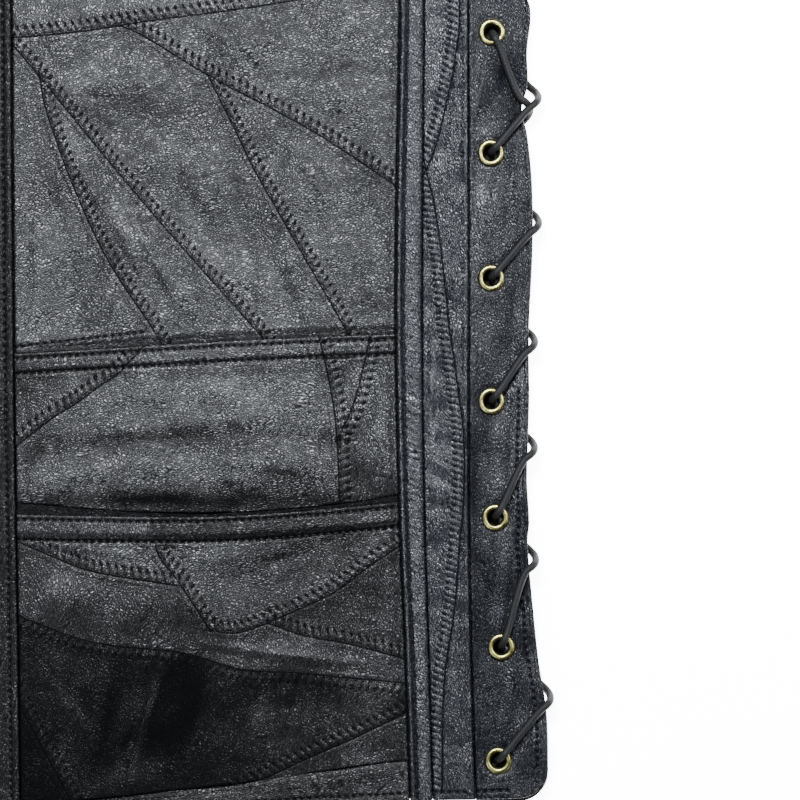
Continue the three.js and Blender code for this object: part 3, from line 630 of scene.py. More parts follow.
def shell(name, panel, mirror):
    """A closed wall of leather: a fine grid for its finished face and a coarse one below."""
    s, level = np.meshgrid(panel["across"], panel["up"])
    x, y = place(panel, s, level)
    high = np.maximum(top_of(panel, x, y), panel["under"](x, y) + LEAST_WALL)
    rows, columns = x.shape
    step = 1 if panel["holes"] else UNDERSIDE_STEP
    j_low = np.unique(np.append(np.arange(0, rows, step), rows - 1))
    i_low = np.unique(np.append(np.arange(0, columns, step), columns - 1))
    low_x, low_y = x[np.ix_(j_low, i_low)], y[np.ix_(j_low, i_low)]
    low = panel["under"](low_x, low_y)
    top = np.arange(rows * columns).reshape(rows, columns)
    base = np.arange(low.size).reshape(low.shape) + rows * columns

    def corners(index):
        return index[:-1, :-1], index[:-1, 1:], index[1:, 1:], index[1:, :-1]

    a, b, c, d = corners(top)
    kept = keep((x[:-1, :-1] + x[1:, 1:]) / 2, (y[:-1, :-1] + y[1:, 1:]) / 2, panel["holes"])
    faces = np.stack([a, b, c, d], -1)[kept].tolist()
    e, f, g, h = corners(base)
    kept_low = kept if step == 1 else np.ones(e.shape, bool)
    faces += np.stack([e, h, g, f], -1)[kept_low].tolist()
    if step == 1:
        padded = np.pad(kept, 1)
        sides = [(a, b, e, f, padded[:-2, 1:-1]), (b, c, f, g, padded[1:-1, 2:]),
                 (c, d, g, h, padded[2:, 1:-1]), (d, a, h, e, padded[1:-1, :-2])]
        for p, q, p_low, q_low, beyond in sides:
            rim = kept & ~beyond
            faces += np.stack([p_low, q_low, q, p], -1)[rim].tolist()
    else:
        around = [(top[0], base[0], i_low), (top[:, -1], base[:, -1], j_low),
                  (top[-1][::-1], base[-1][::-1], columns - 1 - i_low[::-1]),
                  (top[:, 0][::-1], base[:, 0][::-1], rows - 1 - j_low[::-1])]
        for edge, edge_low, marks in around:
            for n in range(len(marks) - 1):
                upper = edge[marks[n]:marks[n + 1] + 1][::-1].tolist()
                faces.append([int(edge_low[n]), int(edge_low[n + 1])] + upper)
    angle, tone = lay_of(panel, x, y)
    every_x = np.append(x.ravel(), low_x.ravel())
    every_y = np.append(y.ravel(), low_y.ravel())
    every_angle = np.append(angle.ravel(), angle[np.ix_(j_low, i_low)].ravel())
    every_tone = np.append(tone.ravel(), tone[np.ix_(j_low, i_low)].ravel())
    layers, sewn = seam_fields(panel, x, y)
    points = np.column_stack([every_x, every_y, np.append(high.ravel(), low.ravel())])
    sizes = np.array([len(face) for face in faces])
    flat = np.concatenate([np.asarray(face) for face in faces])
    used = np.unique(flat)
    renumber = np.zeros(len(points), int)
    renumber[used] = np.arange(len(used))
    flat = renumber[flat]
    points = points[used]
    if mirror:
        points[:, 0] *= -1
    starts = np.append(0, np.cumsum(sizes)[:-1])
    faces = [flat[n:n + size][::-1 if mirror else 1].tolist() for n, size in zip(starts, sizes)]
    piece = mesh_piece(name, points, faces)
    mesh = piece.data
    first = flat[starts]
    order = np.concatenate([np.asarray(face) for face in faces])
    turn = np.repeat(every_angle[used][first], sizes)
    corner = points[order]
    u = corner[:, 0] * np.cos(turn) + corner[:, 1] * np.sin(turn)
    v = corner[:, 1] * np.cos(turn) - corner[:, 0] * np.sin(turn)
    u = u + GRAIN_SHIFT * np.round(turn * 3, 1)
    give(mesh, "hide", "FLOAT_VECTOR", "CORNER", np.column_stack([u, v, corner[:, 2]]))
    give(mesh, "tone", "FLOAT", "POINT", every_tone[used])
    for field, layer in zip(("seams_a", "seams_b", "rows"), layers):
        values = np.vstack([layer.reshape(-1, 4), np.zeros((low.size, 4))])
        give(mesh, field, "FLOAT_COLOR", "POINT", values[used])
    sewn = np.append(sewn.ravel(), np.full(low.size, UNSEWN))
    give(mesh, "sewn", "FLOAT", "POINT", sewn[used])
    return piece


# What a panel has where it doesn't say otherwise. Each panel gives an x in its middle, its left
# and right edges by y, the lines across it by x from the bottom up, its grid's shares across and
# up and its cell, the height under it, its relief, its rows and patch seams, the lay of its grain
# and its seed, and the place, grain angle and tone of single patches.
PLAIN = {
    "seams": [], "rows": [], "holes": [], "patches": [],
    "tone": 0.8,
    "tones": table(FOLD_HEADS, [(0, 0, 0, 1, 1, 0)]),
    "pitch": PITCH["ladder"],
    "thick": lambda x, y: LEATHER + 0 * x,
    # sewn is how far a point is from the seams and edges along which the finish paints shade
    "sewn": lambda x, y: UNSEWN + 0 * x,
    "seam_mask": lambda x, y: 1 + 0 * x}


def line_of(x_of=None, y_of=None, span=(0, 1), step=8):
    """A sewn line that follows a seam or an edge, from a function of y or of x."""
    at = np.arange(span[0], span[1] + 1e-6, step)
    if x_of:
        return Line(np.column_stack([[float(x_of(v)) for v in at], at]))
    return Line(np.column_stack([at, [float(y_of(v)) for v in at]]))


def drawn(seams):
    return [(side, Line(points)) for side, points in seams]


def seams_relief(seams, pitch, x, y):
    return sum((seam_relief(line, side, pitch, x, y) for side, line in seams), np.zeros(x.shape))


def rows_relief(rows, x, y):
    return sum((stitched_groove(line, x, y) for line in rows), np.zeros(x.shape))


def front_body(lap, step):
    seams = drawn(BODY_SEAMS)
    rows = [line_of(y_of=lambda x: hem_edge(x) + ROW_INSET, span=(34, 186)),
            line_of(y_of=lambda x: hem_seam(x) - 1.6, span=(34, 186)),
            line_of(x_of=lambda y: armhole(y) - ROW_INSET, span=(44, 280)),
            line_of(x_of=lambda y: neck_line(y) + ROW_INSET, span=(160, 311)),
            Line([(30, -122.6), (55, -119.6), (81, -116.5)])]

    def shown_relief(x, y):
        e_left = x - up_seam("band", y)
        e_right = up_seam("main", y) - x
        seam_y = pocket_line("upper_top", x)
        return (seams_relief(seams, PITCH["ladder"], x, y) + rows_relief(rows, x, y)
                + 0.85 * fold_height(FRONT_CREASES, x, y)
                + ripple(x, y, 3, 42, 0.75) * free_of_seams(x, 20)
                + ripple(x, y, 4, 9, 0.04)
                + 0.35 * bell((e_right - 1.6) / 1.3) * (y < 30)
                + 0.25 * bell((e_left - 1.6) / 1.2)
                - 0.5 * bell((y - seam_y - 1.2) / 1.2)
                + 0.3 * bell((y - seam_y - 4) / 1.6))

    def relief(x, y):
        """The face that is shown, but a plain one under the pockets, which lie on it."""
        covered = smooth((pocket_line("upper_top", x) - 2 - y) / 4)
        covered = covered * smooth((y - hem_seam(x) - 1) / 3)
        return shown_relief(x, y) * (1 - covered) - 0.1 * covered

    def sewn(x, y):
        # Distance to what the finish paints shade along: the band's and main seams, a painted contact
        # shadow above the upper pocket's top edge, and nil under the pockets, which paints full shade in
        # the gap between them
        pocket_top = pocket_line("upper_top", x)
        from_band = x - up_seam("band", y) + UNSEWN * (y > 140)
        from_main = up_seam("main", y) - x + UNSEWN * (y > 36)
        from_pocket = np.abs(y - pocket_top - 0.4)
        under_pockets = (y < pocket_top - 1) & (y > hem_seam(x) + 1)
        return np.where(under_pockets, 0, np.minimum(np.minimum(from_band, from_main), from_pocket))

    return {
        "middle": 110, "seams": seams, "rows": rows, "seed": 11, "cell": step, "lay": 1.2,
        "tones": FRONT_SHEEN_AND_SHADE,
        "patches": [(100, -50, 62, 0.85), (60, -90, 80, 0.8), (40, -50, 70, 0.8),
                    (150, -70, 70, 0.85), (60, -8, 20, 0.8), (140, 0, 12, 0.85),
                    (80, 30, 80, 0.85)],
        "left": lambda y: np.maximum(up_seam("band", y), neck_line(y)) + SEAM_GAP / 2,
        "right": lambda y: np.minimum(up_seam("main", y), armhole(y)) - SEAM_GAP / 2,
        "lines": lambda x: [hem_edge(x), hem_seam(x), pocket_line("upper_top", x), 36 + 0 * x,
                            shoulder(x)],
        "across": spread(153, step),
        "up": levels((11, step), (176, 4), (160, step), (262, 3.6)),
        "under": front_under(lap),
        "thick": lambda x, y: LEATHER + (HEM_THICKNESS - LEATHER) * turned_edge(hem_seam(x) - y),
        "sewn": sewn, "relief": relief}


def front_band(lap, step):
    rows = [line_of(x_of=lambda y: up_seam("band", y) - 3.8, span=(-311, 140)),
            line_of(x_of=lambda y: -BAND_HALF_WIDTH + ROW_INSET, span=(-311, 44)),
            line_of(y_of=lambda x: hem_edge(abs(x)) + ROW_INSET, span=(-9, 29), step=4)]
    hole = 2.9 if lap == "over" else 1.8

    def relief(x, y):
        e = up_seam("band", y) - x
        return rows_relief(rows, x, y) + 0.45 * bell((e - 1.5) / 1.0) + ripple(x, y, 8, 24, 0.12)

    return {
        "middle": 10, "rows": rows, "seed": 12, "cell": step, "lay": 1.4,
        "holes": [(0, y, hole) for y in SNAP_ROWS],
        "left": lambda y: -BAND_HALF_WIDTH + 0 * y, "right": beside("band", -1),
        "lines": lambda x: [hem_edge(np.abs(x)), read(NECK_LINE, "x", "y", x)],
        "across": spread(42, 1.3 * step), "up": levels((420, 1.3 * step)),
        "under": lambda x, y: BAND_Z[lap] + 0 * x, "tone": 0.35,
        "sewn": lambda x, y: up_seam("band", y) - x, "relief": relief}


def side_strip(step):
    def relief(x, y):
        e_left = x - up_seam("main", y)
        e_right = up_seam("strip", y) - x
        puckers = np.sin(2 * y + 0.7 * x + 3 * np.sin(y / 9)) * bell((e_right - 4) / 2.6)
        gathered = 0.4 + 0.6 * bell((y + 160) / 45)
        return (0.6 * bell((e_left - 1.4) / 0.8) - 0.6 * bell((e_left - 3.0) / 0.6)
                + 0.3 * bell((e_right - 2.8) / 2.2) + ripple(x, y, 21, 14, 0.15)
                + 0.16 * puckers * gathered
                - 0.3 * bell((e_right - 0.6) / 0.6))

    return {
        "middle": 188, "seed": 13, "cell": step, "lay": 1.5,
        "left": beside("main", 1), "right": beside("strip", -1),
        "lines": lambda x: [hem_edge(x), underarm(x)],
        "across": spread(9.4, 0.6 * step), "up": levels((338, 0.8 * step)),
        "under": front_under("over"), "thick": lambda x, y: STRIP_THICKNESS + 0 * x,
        "sewn": lambda x, y: np.minimum(np.minimum(
            x - up_seam("main", y), np.abs(x - up_seam("main", y) - 3.0)), up_seam("strip", y) - x),
        "relief": relief}


def flat_top(y):
    """The seam beside the lace panel lies flat at its top, so its painted shade is weaker there."""
    return 1.5 * smooth((y + 120) / 40)


def side_panel(step):
    seams = drawn(SIDE_SEAMS)
    rows = [line_of(y_of=lambda x: hem_edge(x) + ROW_INSET, span=(198, 212), step=4)]

    def relief(x, y):
        e_right = up_seam("lace", y) - x
        return (seams_relief(seams, PITCH["side_ladder"], x, y) + rows_relief(rows, x, y)
                + 1.5 * fold_height(SIDE_CREASES, x, y) + ripple(x, y, 22, 15, 0.28)
                + 0.35 * bell((e_right - 1.4) / 1.0))

    return {
        "middle": 202, "seams": seams, "rows": rows, "seed": 14, "cell": step, "lay": 1.45,
        "patches": [(200, -10, 88, 0.95), (207, -60, 92, 0.9), (197, -150, 85, 0.95),
                    (209, -250, 94, 0.8)],
        "left": beside("strip", 1), "right": beside("lace", -1),
        "lines": lambda x: [hem_edge(x), hem_seam(x), underarm(x)],
        "across": spread(18.5, 0.75 * step), "up": levels((15, 0.8 * step), (318, 0.85 * step)),
        "under": front_under("over"),
        "thick": lambda x, y: LEATHER + SIDE_HEM_EXTRA * turned_edge(hem_seam(x) - y),
        "pitch": PITCH["side_ladder"], "tones": SIDE_SHEEN_AND_SHADE,
        "sewn": lambda x, y: np.minimum(x - up_seam("strip", y),
                                        up_seam("lace", y) - x + flat_top(y)),
        "relief": relief}


def round_corner(x, edge):
    """How far the panel's corner is cut back near its laced edge."""
    d = np.clip(x - edge + CORNER_RADIUS, 0, CORNER_RADIUS)
    return CORNER_RADIUS - np.sqrt(CORNER_RADIUS ** 2 - d * d)


def lace_panel(layer, hem_drop, seam, step):
    low, high = LACED_EDGE["x"][0], LACED_EDGE["x"][-1]
    rows = [line_of(x_of=lambda y: laced_edge(y) - 4.2, span=(-290, -140), step=5),
            line_of(y_of=lambda x: hem_edge(x) + 3.4, span=(215, 230), step=4)]

    def relief(x, y):
        e_left = x - seam(y)
        e_right = laced_edge(y) - x
        rings = sum(bell((np.hypot(x - e["x"], y - e["y"]) - 5.6) / 1.0) for e in EYELETS)
        return (rows_relief(rows, x, y) + 1.5 * fold_height(SIDE_CREASES, x, y)
                + ripple(x, y, 23, 19, 0.4) + 0.35 * bell((e_left - 1.4) / 1.0)
                + 0.4 * bell((e_right - 1.0) / 0.8) - 0.25 * bell((e_right - 2.6) / 0.7)
                - 0.35 * rings)

    return {
        "middle": 225, "rows": rows, "seed": 15, "cell": step, "lay": 1.5,
        "holes": [(e["x"], e["y"], HOLE_RADIUS) for e in EYELETS],
        "left": lambda y: seam(y) + SEAM_GAP / 2, "right": laced_edge,
        "lines": lambda x: [hem_edge(x) - hem_drop + round_corner(x, low),
                            LACE_PANEL_TOP - round_corner(x, high)],
        "across": spread(25, 0.8 * step), "up": levels((320, 0.8 * step)),
        "under": lambda x, y: LACE_EDGE_Z[layer] + 0 * x,
        "sewn": lambda x, y: x - seam(y) + flat_top(y), "tones": SIDE_SHEEN_AND_SHADE, "tone": 0.55,
        "relief": relief}


def pocket(lap, bottom, top, seams, second_row, raised, tuck, tones, patches, seed, length, step):
    """A pocket: its lower row is at second_row, its mouth is raised and its bottom tucked in."""
    band_edge = line_of(y_of=lambda x: top(x) - second_row, span=(31, 183))
    seams = drawn(seams)
    rows = [line_of(y_of=lambda x: top(x) - 2.3, span=(31, 183)), band_edge]
    patchwork = seams + ([(0, band_edge)] if raised else [])
    mouth = POCKET_MOUTH["depth"]

    def relief(x, y):
        e_top = top(x) - y
        e_left = x - up_seam("band", y)
        e_right = up_seam("main", y) - x
        fade = smooth((e_top - second_row) / 1.5)
        seams_fade = fade if raised else 1
        return (seams_relief(seams, PITCH["ladder"], x, y) * seams_fade
                + rows_relief(rows, x, y) + raised * smooth((second_row - e_top) / 1.2 + 0.5)
                + 0.25 * bell((e_top - (second_row + 2.3) / 2) / 1.8)
                - (0.3 + raised) * bell((e_top - second_row) / 0.7)
                + 0.9 * fold_height(POCKET_CREASES, x, y) * fade
                + ripple(x, y, seed + 40, 30, 0.65) * free_of_seams(x, 16) * fade
                + ripple(x, y, seed + 41, 8, 0.04) - tuck * bell((y - bottom(x)) / 5)
                + 0.45 * bell((e_top - 1.0) / 0.9)
                + 0.3 * bell((e_left - 1.6) / 1.2) + 0.35 * bell((e_right - 1.6) / 1.3))

    return {
        "middle": 105, "seams": patchwork, "rows": rows, "seed": seed, "tones": tones,
        "cell": step, "lay": 1.2, "patches": patches,
        "left": beside("band", 1), "right": beside("main", -1),
        "lines": lambda x: [bottom(x), top(x)],
        "across": spread(153, step), "up": levels((length, step)),
        "under": pocket_under(lap),
        "thick": lambda x, y: (POCKET_LEATHER
                               + POCKET_MOUTH["extra"] * turned_edge(y - top(x) + mouth)),
        "sewn": lambda x, y: np.minimum(x - up_seam("band", y), up_seam("main", y) - x),
        "seam_mask": lambda x, y: smooth((top(x) - y - second_row * (raised > 0)) / 1.5),
        "relief": relief}


def upper_pocket(lap, step):
    patches = [(100, -150, 8, 0.9), (45, -138, 60, 0.75), (170, -170, 70, 0.75)]
    return pocket(lap, lambda x: pocket_line("upper_end", x),
                  lambda x: pocket_line("upper_top", x), UPPER_POCKET_SEAMS, 8.3, 0, 0.8,
                  UPPER_POCKET_SHEEN_AND_SHADE, patches, 16, 66, step)


def lower_pocket(lap, step):
    # The patches' tones are partly the leather's own and partly painted shade: they are darker than the
    # front's and darkest at the bottom left, where less light falls
    patches = [(130, -205, 12, 0.62), (60, -203, 20, 0.6), (175, -225, 80, 0.45),
               (75, -232, 40, 0.42), (150, -245, 70, 0.55), (120, -275, 84, 0.42),
               (70, -270, 62, 0.15), (36, -290, 60, 0.05), (100, -187, 5, 0.4),
               (172, -285, 60, 0.4)]
    return pocket(lap, lambda x: hem_seam(x) + 1, lambda x: pocket_line("lower_top", x),
                  LOWER_POCKET_SEAMS, 10.2, 0.35, 0, LOWER_POCKET_SHEEN_AND_SHADE, patches, 17, 112, step)


def back_body(step):
    right_row = line_of(x_of=lambda y: armhole(y) - ROW_INSET, span=(44, 280))
    rows = [right_row, Line(right_row.points * [-1, 1], 2),
            line_of(y_of=lambda x: back_top(x) - ROW_INSET, span=(-70, 70), step=5),
            line_of(y_of=lambda x: hem_edge(abs(x)) + 4.2, span=(-208, 208))]

    def half(y):
        return np.minimum(back_seam(y) - SEAM_GAP / 2, armhole(y))

    def under(x, y):
        ramp = (np.abs(x) - BACK_RAMP["from"]) / (BACK_RAMP["to"] - BACK_RAMP["from"])
        return LACE_EDGE_Z["back"] * smooth(ramp)

    return {
        "middle": 0, "rows": rows, "seed": 18, "cell": step, "lay": 1.3,
        "left": lambda y: -half(y), "right": half,
        "lines": lambda x: [hem_edge(np.abs(x)) - BACK_HEM_DROP["body"], 24 + 0 * x, back_top(x)],
        "across": spread(422, step), "up": levels((330, 1.3 * step), (270, 0.9 * step)),
        "under": under, "relief": lambda x, y: rows_relief(rows, x, y) * 0.5}


# Finishes. MIX numbers the sockets of a colour mix.
SHEEN = 0.27
MIX = {"factor": 0, "first": 6, "second": 7, "result": 2}


class Value:
    """A socket's value, on which sums are written as in Python."""

    def __init__(self, finish, socket):
        self.finish, self.socket = finish, socket

    def sum(self, operation, first, second):
        return self.finish.node("ShaderNodeMath", {"operation": operation}, [first, second])

    def __add__(self, other):
        return self.sum("ADD", self, other)

    def __radd__(self, other):
        return self.sum("ADD", other, self)

    def __sub__(self, other):
        return self.sum("SUBTRACT", self, other)

    def __rsub__(self, other):
        return self.sum("SUBTRACT", other, self)

    def __mul__(self, other):
        return self.sum("MULTIPLY", self, other)

    def __rmul__(self, other):
        return self.sum("MULTIPLY", other, self)

    def __truediv__(self, other):
        return self.sum("DIVIDE", self, other)

    def __rtruediv__(self, other):
        return self.sum("DIVIDE", other, self)

    def __pow__(self, other):
        return self.sum("POWER", self, other)

    def __rpow__(self, other):
        return self.sum("POWER", other, self)


class Finish:
    """A material that is built from nodes."""

    def __init__(self, name, **settings):
        self.material = bpy.data.materials.new(name)
        self.material.use_nodes = True
        self.tree = self.material.node_tree
        self.surface = self.tree.nodes["Principled BSDF"]
        for socket, value in settings.items():
            self.surface.inputs[socket.replace("_", " ")].default_value = value

    def node(self, kind, settings=None, inputs=(), output=0):
        made = self.tree.nodes.new(kind)
        for key, value in (settings or {}).items():
            if key == "stops":
                ramp = made.color_ramp
                while len(ramp.elements) < len(value):
                    ramp.elements.new(1)
                for element, (at, shade) in zip(ramp.elements, value):
                    element.position = at
                    element.color = (shade, shade, shade, 1)
            else:
                setattr(made, key, value)
        pairs = inputs.items() if isinstance(inputs, dict) else enumerate(inputs)
        for key, value in pairs:
            if isinstance(value, Value):
                self.tree.links.new(value.socket, made.inputs[key])
            else:
                made.inputs[key].default_value = value
        return Value(self, made.outputs[output])

    def feed(self, name, value):
        self.tree.links.new(value.socket, self.surface.inputs[name])

    def attribute(self, name, output):
        return self.node("ShaderNodeAttribute", {"attribute_name": name}, output=output)

    def parts(self, vector):
        first = self.node("ShaderNodeSeparateXYZ", None, [vector])
        return [Value(self, socket) for socket in first.socket.node.outputs]

    def bell(self, value):
        return math.exp(-1) ** (value * value)

    def wave(self, turns):
        """One at each whole turn and zero halfway between."""
        cosine = self.node("ShaderNodeMath", {"operation": "COSINE"}, [turns * (2 * math.pi)])
        return cosine * 0.5 + 0.5

    def clamped(self, value, low, high):
        return self.node("ShaderNodeClamp", None, [value, low, high])

    def eased(self, value, high, least):
        """Rises smoothly from the least value to one while the value goes from zero to high."""
        return self.node("ShaderNodeMapRange", {"interpolation_type": "SMOOTHSTEP"},
                         [value, 0.0, high, least, 1.0])

    def pits(self, factor, shade):
        """Sinks the surface into a matt shade where the factor is one."""
        matt = self.node("ShaderNodeBsdfPrincipled", None,
                         {"Base Color": (*shade, 1), "Specular IOR Level": 0.0, "Roughness": 0.9})
        shown = Value(self, self.surface.outputs[0])
        mix = self.node("ShaderNodeMixShader", None, [factor, shown, matt])
        self.tree.links.new(mix.socket, self.tree.nodes["Material Output"].inputs["Surface"])

    def noise(self, vector, scale, detail, roughness):
        return self.node("ShaderNodeTexNoise", None,
                         {"Vector": vector, "Scale": scale, "Detail": detail,
                          "Roughness": roughness}, "Fac")

    def stretched(self, vector, x, y):
        return self.node("ShaderNodeVectorMath", {"operation": "MULTIPLY"}, [vector, (x, y, 0.0)])

    def mixed(self, factor, first, second):
        """A mix of two colours, each three values."""
        sockets = {MIX["factor"]: factor, MIX["first"]: (*first, 1), MIX["second"]: (*second, 1)}
        return self.node("ShaderNodeMix", {"data_type": "RGBA"}, sockets, MIX["result"])

    def bump(self, height, distance):
        return self.node("ShaderNodeBump", None,
                         {"Strength": 1.0, "Distance": distance, "Height": height}, "Normal")


def ladder_of(finish, name):
    """Height in millimetres and darkness of the patch seams in one layer: painted shade in the crease,
    notches and slots and between them, and a painted highlight on the rungs.
    """
    d, turns, weight = finish.parts(finish.attribute(name, "Vector"))
    kind = finish.attribute(name, "Alpha")
    wave = finish.wave(turns)
    holes = wave ** 5.0 * kind
    crease = finish.bell(d / 0.25) * 0.9
    slots = finish.bell((d - SLOT["away"]) / (SLOT["half_length"] - 0.1)) * holes
    notches = finish.bell((d - 0.9) / 0.5) * holes
    creased = finish.bell((d - 2.4) / 1.3) * holes
    rungs = finish.bell((d - 2.4) / 1.4) * kind * (1 - wave)
    height = rungs * 0.15 - crease * 0.3 - slots * 0.35 - notches * 0.2 - creased * 0.1
    dark = crease * 0.95 + slots * 1.05 + notches * 0.75 + creased * 0.2 - rungs * 0.5
    return height * weight, dark * weight


def row_of(finish, name):
    """Height in millimetres and darkness of the topstitched rows: the black thread's dashes and painted
    shade in the groove between them.
    """
    d, turns, weight = finish.parts(finish.attribute(name, "Vector"))
    wave = finish.wave(turns)
    groove = finish.bell(d / 0.55) * weight
    return groove * (wave * 0.3 + 0.1) * -1, groove * (wave * 0.55 + 0.4)


def leather_finish(name, dark, light, rough=0.3, pebble=0.74, ladders=("seams_a", "seams_b")):
    """Leather with drawn-out pebbles, streaks and wrinkles, and its seams pressed in, with painted shade
    along its seams and edges and the painted sheen and shade that its tone carries.
    """
    finish = Finish(name, Specular_IOR_Level=SHEEN)
    hide = finish.attribute("hide", "Vector")
    tone = finish.attribute("tone", "Fac")
    drift = finish.node("ShaderNodeTexNoise", None,
                        {"Vector": hide, "Scale": 0.09, "Detail": 2.0}, "Color")
    moved = finish.node("ShaderNodeVectorMath", {"operation": "MULTIPLY_ADD"},
                        [drift, (7.0, 7.0, 0.0), hide])
    flat = finish.stretched(moved, 0.52, 1.06)
    patchy = finish.noise(hide, 0.035, 1.0, 0.5)
    cells = finish.node("ShaderNodeTexVoronoi", {"feature": "DISTANCE_TO_EDGE"},
                        {"Vector": flat, "Scale": 1.0 / pebble}, "Distance")
    pebbles = finish.eased(cells, 0.42, 0.0)
    gaps = finish.eased(cells, 0.18, 0.08)
    streaks = finish.noise(finish.stretched(moved, 0.28, 1.3), 1.0, 3.0, 0.6)
    wrinkles = finish.noise(finish.stretched(moved, 0.3, 0.9), 0.2, 2.0, 0.5)
    height = pebbles * (patchy * 0.11 + 0.07) + streaks * 0.14 + wrinkles * 0.06
    # Painted shade along each piece's seams and edges, by its sewn distance; the seam layers add painted
    # shade in creases, slots and notches and a painted highlight on rungs, and the rows add their dark
    # thread and painted shade in their grooves
    seam_shade = finish.bell(finish.attribute("sewn", "Fac") / 0.6) * 0.85
    for sewn_height, sewn_dark in ([ladder_of(finish, layer) for layer in ladders]
                                   + [row_of(finish, "rows")]):
        height = height + sewn_height
        seam_shade = seam_shade + sewn_dark
    # Where less is shown the surface sinks into a matt dark: the painted shade above, the grain's gaps,
    # and the tone, which carries painted sheen and shade besides each patch's own tone
    shown = (1 - finish.clamped(seam_shade, -0.5, 1.0)) * tone
    shown = shown * gaps * (patchy * 0.4 + 0.85)
    finish.feed("Normal", finish.bump(height, MM))
    # The base colour follows the grain and the tone, with the tone's painted sheen and shade
    shade = (pebbles * 0.5 + streaks * 0.6 + 0.1) * (patchy * 0.9 + 0.5) * tone
    finish.feed("Base Color", finish.mixed(shade, dark, light))
    finish.feed("Roughness", rough + (1 - pebbles) * 0.15 + (patchy - 0.5) * 0.12)
    finish.pits(finish.clamped(1 - shown, 0.0, 1.0), dark)
    return finish.material


def brass_finish():
    """Old brass, bright where it is worn."""
    finish = Finish("antique brass", Metallic=1.0)
    spot = finish.node("ShaderNodeTexCoord", output="Object")
    wear = finish.noise(spot, 420.0, 4.0, 0.6)
    worn = finish.node("ShaderNodeValToRGB", {"stops": [(0.3, 0.0), (0.62, 1.0)]}, [wear], "Color")
    finish.feed("Base Color", finish.mixed(worn, (0.03, 0.027, 0.008), (0.17, 0.16, 0.062)))
    finish.feed("Roughness", 0.42 - wear * 0.18)
    finish.feed("Normal", finish.bump(wear, 0.00004))
    return finish.material


def lace_finish():
    """Black round leather cord with slanting strands."""
    finish = Finish("lace cord", Specular_IOR_Level=0.07)
    run = finish.attribute("run", "Vector")
    strands = finish.node("ShaderNodeTexWave", {"wave_type": "BANDS", "bands_direction": "DIAGONAL"},
                          {"Vector": run, "Scale": 0.42, "Distortion": 1.2, "Detail": 2.0}, "Fac")
    fuzz = finish.noise(run, 2.6, 3.0, 0.6)
    finish.feed("Normal", finish.bump(strands * 0.5 + fuzz * 0.7, 0.00009))
    finish.feed("Base Color", finish.mixed(strands * 0.5 + fuzz * 0.5, (0.001, 0.001, 0.001),
                                           (0.004, 0.004, 0.0045)))
    finish.feed("Roughness", 0.5 + fuzz * 0.2)
    return finish.material


def thread_finish():
    """Black sewing thread."""
    finish = Finish("black thread", Specular_IOR_Level=0.12)
    spot = finish.node("ShaderNodeTexCoord", output="Object")
    fibre = finish.noise(spot, 2600.0, 2.0, 0.5)
    finish.feed("Base Color", finish.mixed(fibre, (0.001, 0.001, 0.001), (0.006, 0.006, 0.006)))
    finish.feed("Roughness", 0.5 + fibre * 0.2)
    finish.feed("Normal", finish.bump(fibre, 0.00005))
    return finish.material


# Each leather with its material slot
FRONT_HIDE = (leather_finish("front leather", (0.0008, 0.0008, 0.0009), (0.008, 0.0081, 0.0088)),
              "front_leather")
SIDE_HIDE = (leather_finish("side leather", (0.0008, 0.0009, 0.0014), (0.0085, 0.0089, 0.0112),
                            0.31, 0.72), "side_leather")
BACK_HIDE = (leather_finish("back leather", (0.0008, 0.0008, 0.0008), (0.006, 0.006, 0.0062),
                            0.45, 1.1, ()), "back_leather")
BRASS = brass_finish()
CORD = lace_finish()
THREAD = thread_finish()


def dress(piece, finish, node=None):
    """Gives a piece its finish and its body, and hides the node that it stands for."""
    piece.data.materials.clear()
    piece.data.materials.append(finish)
    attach(piece, "root")
    if node:
        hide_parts(node)


# Hardware, turned by extruding a ring of edges along its section
POLE_RADIUS = 0.01


def turned_ring(name, section, x, y, sides=40):
    """A piece turned about an upright axis at x and y, from its section's radii and heights."""
    bpy.ops.object.select_all(action="DESELECT")
    section = [(max(r, POLE_RADIUS), z) for r, z in section]
    radius, height = section[0]
    bpy.ops.mesh.primitive_circle_add(vertices=sides, radius=radius * MM,
                                      location=(x * MM, y * MM, height * MM))
    ring = bpy.context.object
    ring.name = ring.data.name = name
    bpy.ops.object.transform_apply(location=True, rotation=True, scale=True)
    bpy.ops.object.mode_set(mode="EDIT")
    bpy.ops.mesh.select_all(action="SELECT")
    for r, z in section[1:]:
        bpy.ops.mesh.extrude_edges_move(TRANSFORM_OT_translate={"value": (0, 0, (z - height) * MM)})
        grow = r / radius
        bpy.ops.transform.resize(value=(grow, grow, 1), center_override=(x * MM, y * MM, z * MM))
        radius, height = r, z
    bpy.ops.mesh.select_all(action="SELECT")
    bpy.ops.mesh.remove_doubles(threshold=2.5 * POLE_RADIUS * MM)
    bpy.ops.mesh.normals_make_consistent(inside=False)
    bpy.ops.object.mode_set(mode="OBJECT")
    bpy.ops.object.shade_smooth_by_angle(angle=math.radians(50))
    return ring


def eyelet_section(underside):
    """Section of an eyelet: a rounded flange on top, the barrel and a turned rim below."""
    top = underside + LEATHER + SETTING_GAP
    low = underside - SETTING_GAP
    bore, barrel, flange = EYELET["bore"], EYELET["barrel"], EYELET["flange"]
    middle, half = (bore + flange) / 2, (flange - bore) / 2
    dome = [(middle + half * math.cos(t), top + 0.15 + 1.05 * math.sin(t))
            for t in np.linspace(0, math.pi, 11)]
    return [(bore, low - 0.6), (flange - 1.0, low - 0.6), (flange - 0.8, low - 0.3), (barrel, low),
            (barrel, top), (flange - 0.25, top)] + dome + [(bore, low - 0.6)]


